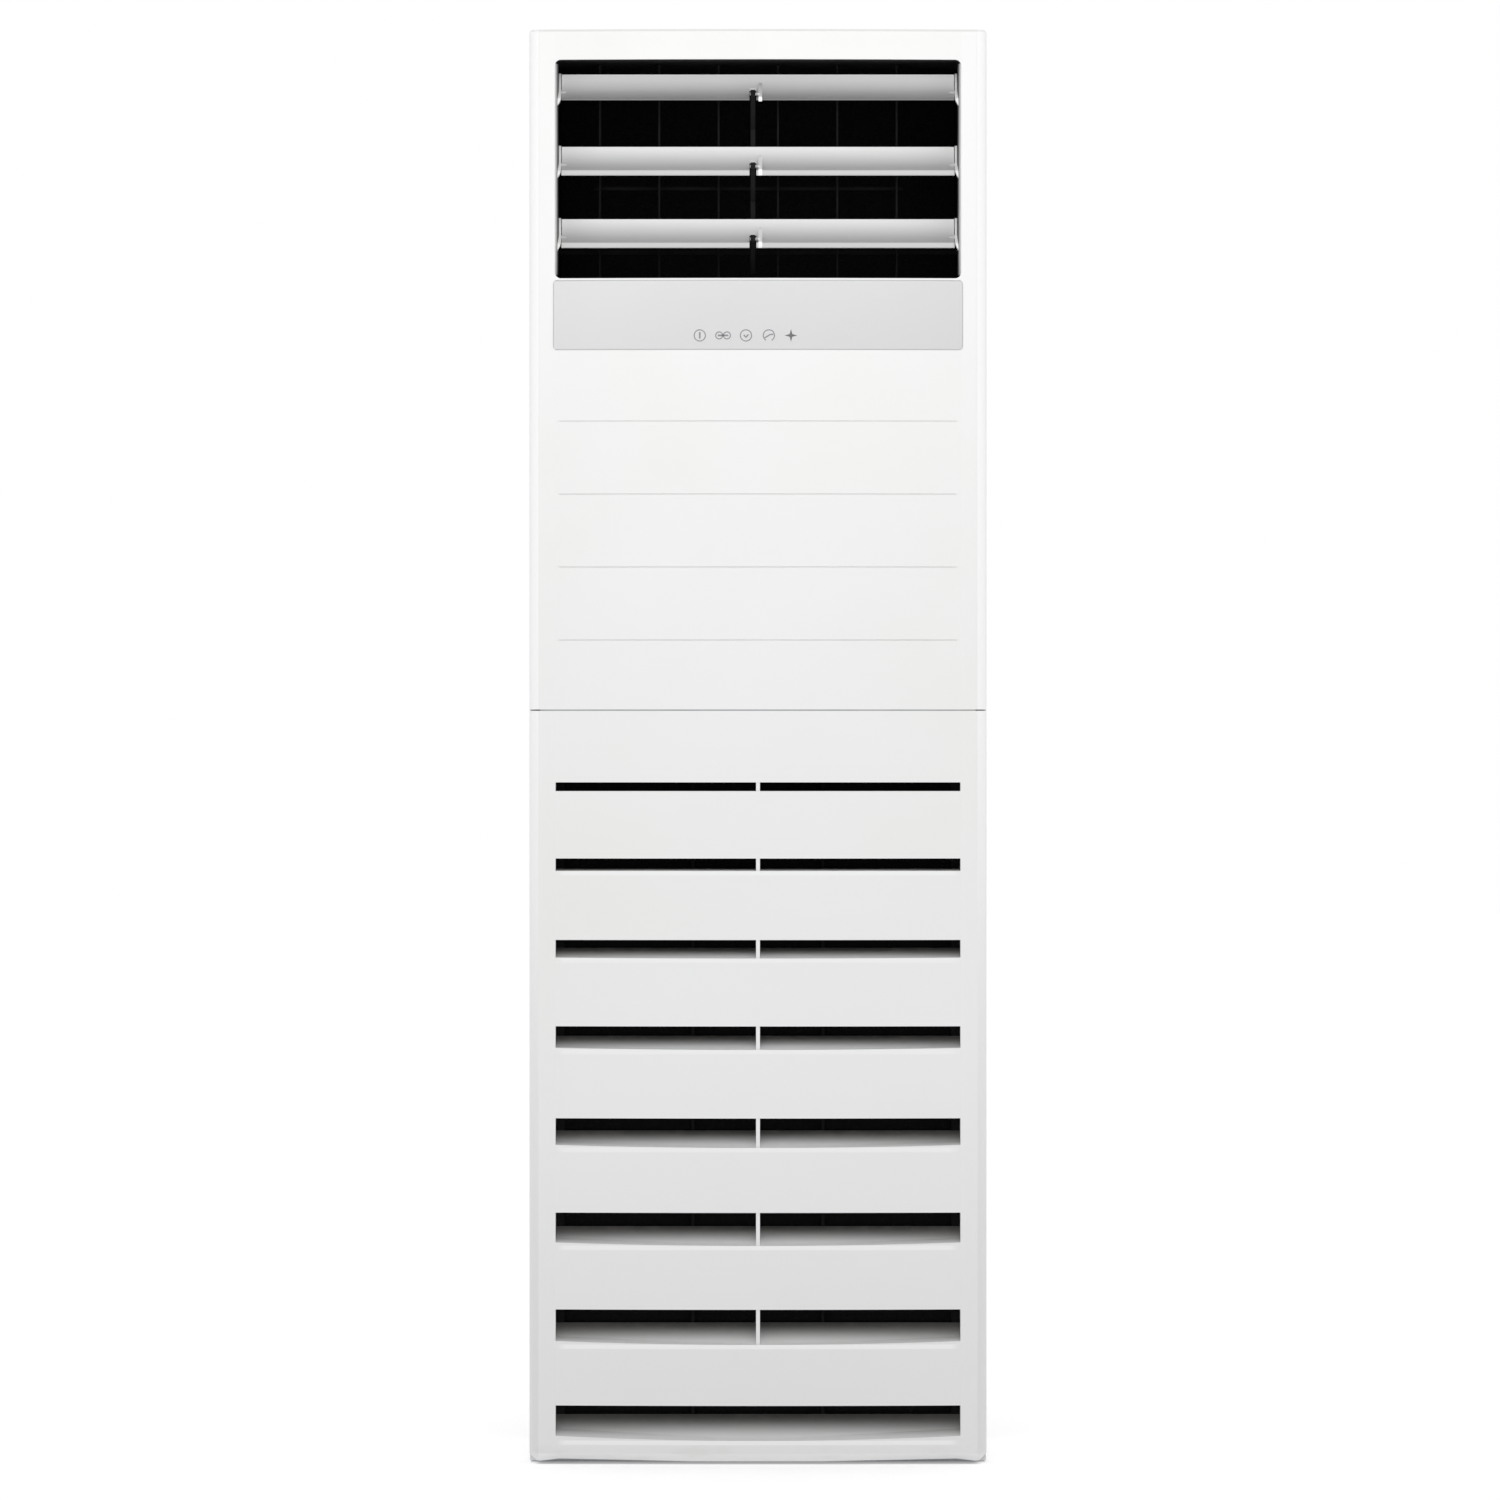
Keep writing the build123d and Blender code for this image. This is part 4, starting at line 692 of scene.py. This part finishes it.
finishes = {
    "steel_white": powderCoat(),
    "moulding_white": mouldedWhite(),
    "galvanised": galvanisedSheet(),
    "fascia_silver": silverStrip(),
    "board_green": boardGreen(),
    "filter_grey": filterBlack(),
    "mesh_grey": filterNet(),
    "duct_black": ductBlack(),
    "louvre_white": bearingWhite(),
    "stepper_can": stepperCan(),
    "shaft_steel": groundSteel(),
    "foam_black": foamBlack(),
    "fin_aluminium": finStack(),
    "copper": copperTube(),
    "nut_brass": brassNut(),
    "pan_grey": panGrey(),
    "hose_grey": ribbedHose(),
    "wheel_metal": wheelAluminium(),
    "motor_paint": motorEnamel(),
    "terminal_cream": terminalCream(),
    "catch_black": catchBlack(),
}
print("finishes made:", len(finishes))

slotOf = {part["node"]: part["material_slot"] for part in frame["record"]["subparts"]}
for name, piece in nodes.items():
    ownFinish = louvreGreyAndShade(name, louvreLips[name]) if name in louvreLips else finishes[slotOf[name]]
    for place in piece.material_slots:
        place.material = ownFinish
print("finishes put on", len(slotOf), "pieces")


def pieceFrom(mesh, name, material, body):
    data = bpy.data.meshes.new(name)
    bmesh.ops.recalc_face_normals(mesh, faces=mesh.faces)
    mesh.to_mesh(data)
    mesh.free()
    data.materials.append(material)
    piece = bpy.data.objects.new(name, data)
    bpy.context.scene.collection.objects.link(piece)
    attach(piece, body)
    return piece


def addBand(mesh, first, second):  # faces between two closed rings of corners
    for i in range(len(first)):
        j = (i + 1) % len(first)
        mesh.faces.new((first[i], first[j], second[j], second[i]))


def addBar(mesh, rows):  # closed bar, where each row of points is one cross-section
    rings = [[mesh.verts.new(point) for point in row] for row in rows]
    for first, second in zip(rings, rings[1:]):
        addBand(mesh, first, second)
    mesh.faces.new(rings[0])
    mesh.faces.new(reversed(rings[-1]))


# ramps that lead each slot up to the filter, steeper than the sills that carry them
def addSlotRamps():
    ramp = {
        "half": 0.2608,
        "columns": 36,
        "setback": 0.0012,
        "depth": 0.0376,
        "steps": 5,
        "sink": 0.0004,
        "sag": 0.0012,
        "sagFrom": 0.01,  # a ramp that rises less than this stays straight
        "below": 0.004,
    }
    end = cadBox[0].y + ramp["depth"]
    mesh = bmesh.new()
    for top, height, rise in slots:
        sill = top - height
        sag = ramp["sag"] if rise > ramp["sagFrom"] else 0
        rows = []
        for i in range(ramp["columns"] + 1):
            x = -ramp["half"] + 2 * ramp["half"] * i / ramp["columns"]
            start = frontOf("intake_grille", x, sill - ramp["below"]) + ramp["setback"]
            row = []
            for k in range(ramp["steps"] + 1):
                share = k / ramp["steps"]
                curve = 4 * sag * share * (1 - share)
                row.append((x, start + (end - start) * share, sill + rise * share - curve))
            row += [(x, end, sill - ramp["sink"]), (x, start, sill - ramp["sink"])]
            rows.append(row)
        addBar(mesh, rows)
    pieceFrom(mesh, "slot_ramps", finishes["moulding_white"], "intake_grille")


# coves down both sides of the outlet, that fade into the dark
def shadedCove():
    look = {
        "pale": tone(250, 250, 250),
        "dark": tone(14, 14, 14),
        "fade": (0.2576, 0.2617),
        "grain": (600, 3, 0.3, 0.7),
        "grainShare": 0.06,
        "grainRough": 0.1,
        "grainBump": (0.00003, 0.4),
        "rough": 0.6,
        "shine": 0.15,
    }
    paint = Paint("shadedCove")
    grain = paint.patches(*look["grain"])
    across = abs(paint.x).between(*look["fade"])
    share = across * (1 - look["grainShare"] + grain * look["grainShare"])
    colour = paint.mix(share, look["dark"], look["pale"])
    roughness = look["rough"] + grain * look["grainRough"]
    normal = paint.bump(grain, *look["grainBump"])
    return paint.shade(colour, roughness, normal, {"Specular IOR Level": look["shine"]})


def addCoves():
    cove = {
        "inside": 0.2574,
        "outside": 0.2620,
        "front": -0.2075,
        "back": -0.1785,
        "low": 1.5335,
        "high": 1.8065,
        "steps": 8,
    }
    width = cove["outside"] - cove["inside"]
    depth = cove["front"] - cove["back"]
    mesh = bmesh.new()
    for side in (-1, 1):
        section = []
        for i in range(cove["steps"] + 1):
            share = 1 - math.sin(math.pi / 2 * i / cove["steps"])
            section.append((side * (cove["inside"] + width * share), cove["back"] + depth * share ** 0.5))
        section.append((side * cove["outside"], cove["back"]))
        addBar(mesh, [[(x, y, z) for x, y in section] for z in (cove["low"], cove["high"])])
    pieceFrom(mesh, "outlet_coves", shadedCove(), "cabinet")


# pale seal in the gap between the two front mouldings
def addSplitSeal():
    seal = {
        "half": 0.2805,
        "columns": 40,
        "setback": 0.0008,
        "depth": 0.002,
        "clear": 0.0002,
        "lap": 0.0004,
        "above": 0.003,
    }
    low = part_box("intake_grille")[1].z + seal["clear"]
    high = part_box("upper_front_panel")[0].z + seal["lap"]
    mesh = bmesh.new()
    rows = []
    for i in range(seal["columns"] + 1):
        x = -seal["half"] + 2 * seal["half"] * i / seal["columns"]
        front = frontOf("upper_front_panel", x, high + seal["above"]) + seal["setback"]
        back = front + seal["depth"]
        rows.append([(x, front, low), (x, front, high), (x, back, high), (x, back, low)])
    addBar(mesh, rows)
    pieceFrom(mesh, "split_seal", finishes["pan_grey"], "cabinet")


# blocks at the louvres' ends, shaped to the blades, with a tail that thins out under each
def addEndBlocks():
    block = {
        # outline seen from the side, in mm back and up from the louvre's pin
        "profile": ((-20, -21), (-23, -14), (-22, -8), (-6.5, 6.5), (6, 26),
                    (13, 27), (13.5, 22), (7, 0), (2, -7), (-10, -16)),
        "parts": 3,
        "hole": 0.0042,
        "inside": 0.2546,
        "outside": 0.2620,
        "thinFrom": -0.009,
        "thinTo": -0.021,
        "thin": 0.0055,
        "edge": 0.0005,
        "edgeSteps": 2,
        "edgeAngle": math.radians(40),
    }
    corners = [Vector((y / 1000, z / 1000)) for y, z in block["profile"]]
    outline = []
    for a, b in zip(corners, corners[1:] + corners[:1]):
        outline += [a.lerp(b, i / block["parts"]) for i in range(block["parts"])]
    hole = [spot.normalized() * block["hole"] for spot in outline]
    tail = block["thinFrom"] - block["thinTo"]
    sections = []
    for inner in (True, False):
        for spots in (outline, hole):
            section = []
            for spot in spots:
                thin = max(0, (block["thinFrom"] - spot.y) / tail) * block["thin"]
                x = block["inside"] + thin if inner else block["outside"]
                section.append((x, spot.x, spot.y))
            sections.append(section)
    mesh = bmesh.new()
    for axis in louvreAxes.values():
        for side in (-1, 1):
            rings = []
            for section in sections:
                rings.append([mesh.verts.new((side * x, axis.y + y, axis.z + z)) for x, y, z in section])
            innerEdge, innerHole, outerEdge, outerHole = rings
            addBand(mesh, innerEdge, innerHole)
            addBand(mesh, innerHole, outerHole)
            addBand(mesh, outerHole, outerEdge)
            addBand(mesh, outerEdge, innerEdge)
    piece = pieceFrom(mesh, "louvre_end_blocks", finishes["louvre_white"], "cabinet")
    bevel = piece.modifiers.new("edge", "BEVEL")
    bevel.width = block["edge"]
    bevel.segments = block["edgeSteps"]
    bevel.limit_method = "ANGLE"
    bevel.angle_limit = block["edgeAngle"]
    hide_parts("louvre_bearings")


addSlotRamps()
addCoves()
addSplitSeal()
addEndBlocks()
print("ramps, coves, seal and the louvres' end blocks set")


# five printed symbols over the touch keys, laid on the strip's own curve
touchKeys = {
    "height": 1.4550,
    "radius": 0.0072,
    "line": 0.0014,
    "proud": 0.00005,
    "buried": 0.0002,
    "arcStep": math.radians(8),
    # four faint ones: where each stands, its arcs and its strokes, in radii about that place;
    # an arc is x, z, radius and two angles, a stroke is x, z, x, z and its width in lines
    "power": (-0.0750, ((0, 0, 1, 0, 360),), ((0, -0.55, 0, 0.6, 1.6),)),
    "speed": (-0.0450, ((-0.7, 0, 0.62, 0, 360), (0.7, 0, 0.62, 0, 360)), ((-0.95, 0, 0.95, 0, 1.7),)),
    "mode": (-0.0155, ((0, 0, 1, 0, 360),), ((-0.4, 0.1, 0, -0.35, 1.3), (0, -0.35, 0.45, 0.2, 1.3))),
    "timer": (0.0140, ((0, 0, 1, -60, 240),), ((-0.75, -0.45, 0.2, 0.15, 1.3), (0.2, 0.15, 0.8, 0.2, 1.3))),
    # the dark star: where it stands, and how far its points and its waist reach, in radii
    "swing": (0.0425, 1.15, 0.34),
}


def addPatch(mesh, loop):  # closed plate over a convex loop of (x, z) points
    layers = []
    for depth in (-touchKeys["proud"], touchKeys["buried"]):
        layers.append([mesh.verts.new((x, frontOf("control_fascia", x, z) + depth, z)) for x, z in loop])
    front, back = layers
    mesh.faces.new(front)
    mesh.faces.new(reversed(back))
    for i in range(len(loop)):
        j = (i + 1) % len(loop)
        mesh.faces.new((front[i], back[i], back[j], front[j]))


def addStroke(mesh, x0, z0, x1, z1, width):
    run = Vector((x1 - x0, z1 - z0))
    side = Vector((-run.y, run.x)).normalized() * width / 2
    addPatch(mesh, [(x0 + side.x, z0 + side.y), (x1 + side.x, z1 + side.y),
                    (x1 - side.x, z1 - side.y), (x0 - side.x, z0 - side.y)])


def addArc(mesh, x, z, radius, width, start, end):
    steps = max(2, round((end - start) / touchKeys["arcStep"]))
    angles = [start + (end - start) * i / steps for i in range(steps + 1)]
    inner, outer = radius - width / 2, radius + width / 2
    for a, b in zip(angles, angles[1:]):
        corners = ((inner, a), (outer, a), (outer, b), (inner, b))
        addPatch(mesh, [(x + reach * math.cos(turn), z + reach * math.sin(turn)) for reach, turn in corners])


def addFaintSymbols():
    height, radius, line = touchKeys["height"], touchKeys["radius"], touchKeys["line"]
    mesh = bmesh.new()
    for key in ("power", "speed", "mode", "timer"):
        at, arcs, strokes = touchKeys[key]
        for x, z, size, start, end in arcs:
            addArc(mesh, at + x * radius, height + z * radius, size * radius, line,
                   math.radians(start), math.radians(end))
        for x0, z0, x1, z1, width in strokes:
            addStroke(mesh, at + x0 * radius, height + z0 * radius,
                      at + x1 * radius, height + z1 * radius, width * line)
    material = ink("symbolInk", tone(128, 128, 131), tone(146, 146, 148))
    pieceFrom(mesh, "touch_symbols", material, "cabinet")


def addSwingSymbol():
    height, radius = touchKeys["height"], touchKeys["radius"]
    at, point, waist = touchKeys["swing"]
    eighth = math.pi / 4
    mesh = bmesh.new()
    for quarter in range(4):
        turn = quarter * 2 * eighth
        loop = [(at, height)]
        for share, angle in ((waist, turn - eighth), (point, turn), (waist, turn + eighth)):
            reach = share * radius
            loop.append((at + reach * math.cos(angle), height + reach * math.sin(angle)))
        addPatch(mesh, loop)
    material = ink("darkInk", tone(92, 92, 95), tone(112, 112, 114))
    pieceFrom(mesh, "swing_symbol", material, "cabinet")


addFaintSymbols()
addSwingSymbol()
print("touch symbols laid on the strip")


# cross-headed screws: each ring is its share of the radius and of the height
screwShape = {
    "rings": ((1.0, -0.3), (1.0, 0.3), (0.9, 0.68), (0.7, 0.92), (0.46, 1.0), (0.3, 1.0), (0.12, 1.0)),
    "sides": 24,
    "recess": 0.55,
    "recessHalf": 0.1,
    "recessReach": 0.5,
}


def addScrew(mesh, place, facing, radius, height):
    turn = facing.to_track_quat("Z", "Y")
    rings = []
    for share, lift in screwShape["rings"]:
        ring = []
        for i in range(screwShape["sides"]):
            angle = 2 * math.pi * i / screwShape["sides"]
            u, v = share * math.cos(angle), share * math.sin(angle)
            cut = share < screwShape["recessReach"] and min(abs(u), abs(v)) < screwShape["recessHalf"]
            up = lift - (screwShape["recess"] if cut else 0)
            ring.append(mesh.verts.new(place + turn @ Vector((u * radius, v * radius, up * height))))
        rings.append(ring)
    for lower, upper in zip(rings, rings[1:]):
        addBand(mesh, lower, upper)
    mesh.faces.new(reversed(rings[0]))
    mesh.faces.new(rings[-1])


def addScrews(name, places, facing, radius, height):
    mesh = bmesh.new()
    for place in places:
        addScrew(mesh, Vector(place), Vector(facing), radius, height)
    pieceFrom(mesh, name, finishes["shaft_steel"], "cabinet")


def addRearScrews():
    rear = {
        "inset": 0.0095,
        "lowest": 0.045,
        "highest": 1.79,
        "rows": 6,
        "footHeight": 0.014,
        "footCount": 4,
        "footReach": 0.7,
        "radius": 0.0042,
        "height": 0.0016,
    }
    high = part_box("rear_panel")[1]
    across = high.x - rear["inset"]
    rise = (rear["highest"] - rear["lowest"]) / (rear["rows"] - 1)
    reach = across * rear["footReach"]
    spread = 2 * reach / (rear["footCount"] - 1)
    heights = [rear["lowest"] + rise * i for i in range(rear["rows"])]
    places = [(side * across, high.y, z) for side in (-1, 1) for z in heights]
    places += [(-reach + spread * i, high.y, rear["footHeight"]) for i in range(rear["footCount"])]
    addScrews("rear_screws", places, (0, 1, 0), rear["radius"], rear["height"])


def addCoverScrews():
    cover = {"inset": 0.012, "radius": 0.004, "height": 0.0022}
    low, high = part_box("control_box_cover")
    across = (low.x + cover["inset"], high.x - cover["inset"])
    up = (low.z + cover["inset"], high.z - cover["inset"])
    places = [(x, low.y, z) for x in across for z in up]
    addScrews("box_cover_screws", places, (0, -1, 0), cover["radius"], cover["height"])


addRearScrews()
addCoverScrews()
print("screws set in the rear panel and the control box's cover")


# studio: a pale floor, soft light from above the front, white behind
def makeFloor():
    ground = {
        "half": 40.0,
        "squares": 8,
        "pale": tone(253, 253, 253),
        "dull": tone(247, 247, 247),
        "cloud": (0.8, 3),
        "cloudShare": 0.3,
        "cloudRough": 0.1,
        "rough": 0.75,
        "shine": 0.2,
        "glow": 0.29,
    }
    mesh = bmesh.new()
    count = ground["squares"]
    bmesh.ops.create_grid(mesh, x_segments=count, y_segments=count, size=ground["half"])
    data = bpy.data.meshes.new("floor")
    mesh.to_mesh(data)
    mesh.free()
    floor = bpy.data.objects.new("floor", data)
    bpy.context.scene.collection.objects.link(floor)
    paint = Paint("paleFloor")
    cloud = paint.noise(*ground["cloud"])
    colour = paint.mix(cloud * ground["cloudShare"], ground["pale"], ground["dull"])
    roughness = ground["rough"] + cloud * ground["cloudRough"]
    data.materials.append(paint.shade(colour, roughness, more={
        "Specular IOR Level": ground["shine"],
        "Emission Color": (1, 1, 1, 1),
        "Emission Strength": ground["glow"],
    }))


def makeWorld():  # white behind the object, and a soft room that is brighter at both sides
    sky = {"white": (1, 1, 1, 1), "room": 0.74, "sides": 0.84, "sideSpan": (0.35, 0.95)}
    room = Paint("studioRoom", "worlds", "Generated")
    bpy.context.scene.world = room.owner
    sideways = abs(room.x).between(*sky["sideSpan"])
    soft = sky["room"] - sideways * (sky["room"] - sky["sides"])
    seen = room.node("LightPath", out="Is Camera Ray")
    strength = seen + (1 - seen) * soft
    light = room.node("Background", sockets={"Color": sky["white"], "Strength": strength})
    room.node("OutputWorld", sockets={"Surface": light})


def placeAimed(item, place, aim):  # at one place, looking at another
    item.location = place
    item.rotation_euler = (Vector(aim) - Vector(place)).to_track_quat("-Z", "Y").to_euler()
    bpy.context.scene.collection.objects.link(item)


def makeLight():
    key = {
        "place": (0.0, -2.2, 2.35),
        "aim": (0.0, -0.2, 1.75),
        "size": 1.6,
        "spread": math.radians(76),
        "watts": 3.4,
    }
    data = bpy.data.lights.new("key", "AREA")
    data.size = key["size"]
    data.spread = key["spread"]
    data.energy = key["watts"]
    placeAimed(bpy.data.objects.new("key", data), key["place"], key["aim"])


def makeCamera():
    view = {
        "place": (-0.0103, -12.22, 0.921),
        "aim": (-0.0103, -0.22, 0.921),
        "sensor": 36,
        "lens": 223.6,
        "farthest": 200,
    }
    data = bpy.data.cameras.new("camera")
    data.sensor_width = view["sensor"]
    data.lens = view["lens"]
    data.clip_end = view["farthest"]
    camera = bpy.data.objects.new("camera", data)
    placeAimed(camera, view["place"], view["aim"])
    bpy.context.scene.camera = camera


makeFloor()
makeWorld()
makeLight()
makeCamera()
bpy.context.scene.view_settings.view_transform = "Standard"
print("studio, light and camera placed")
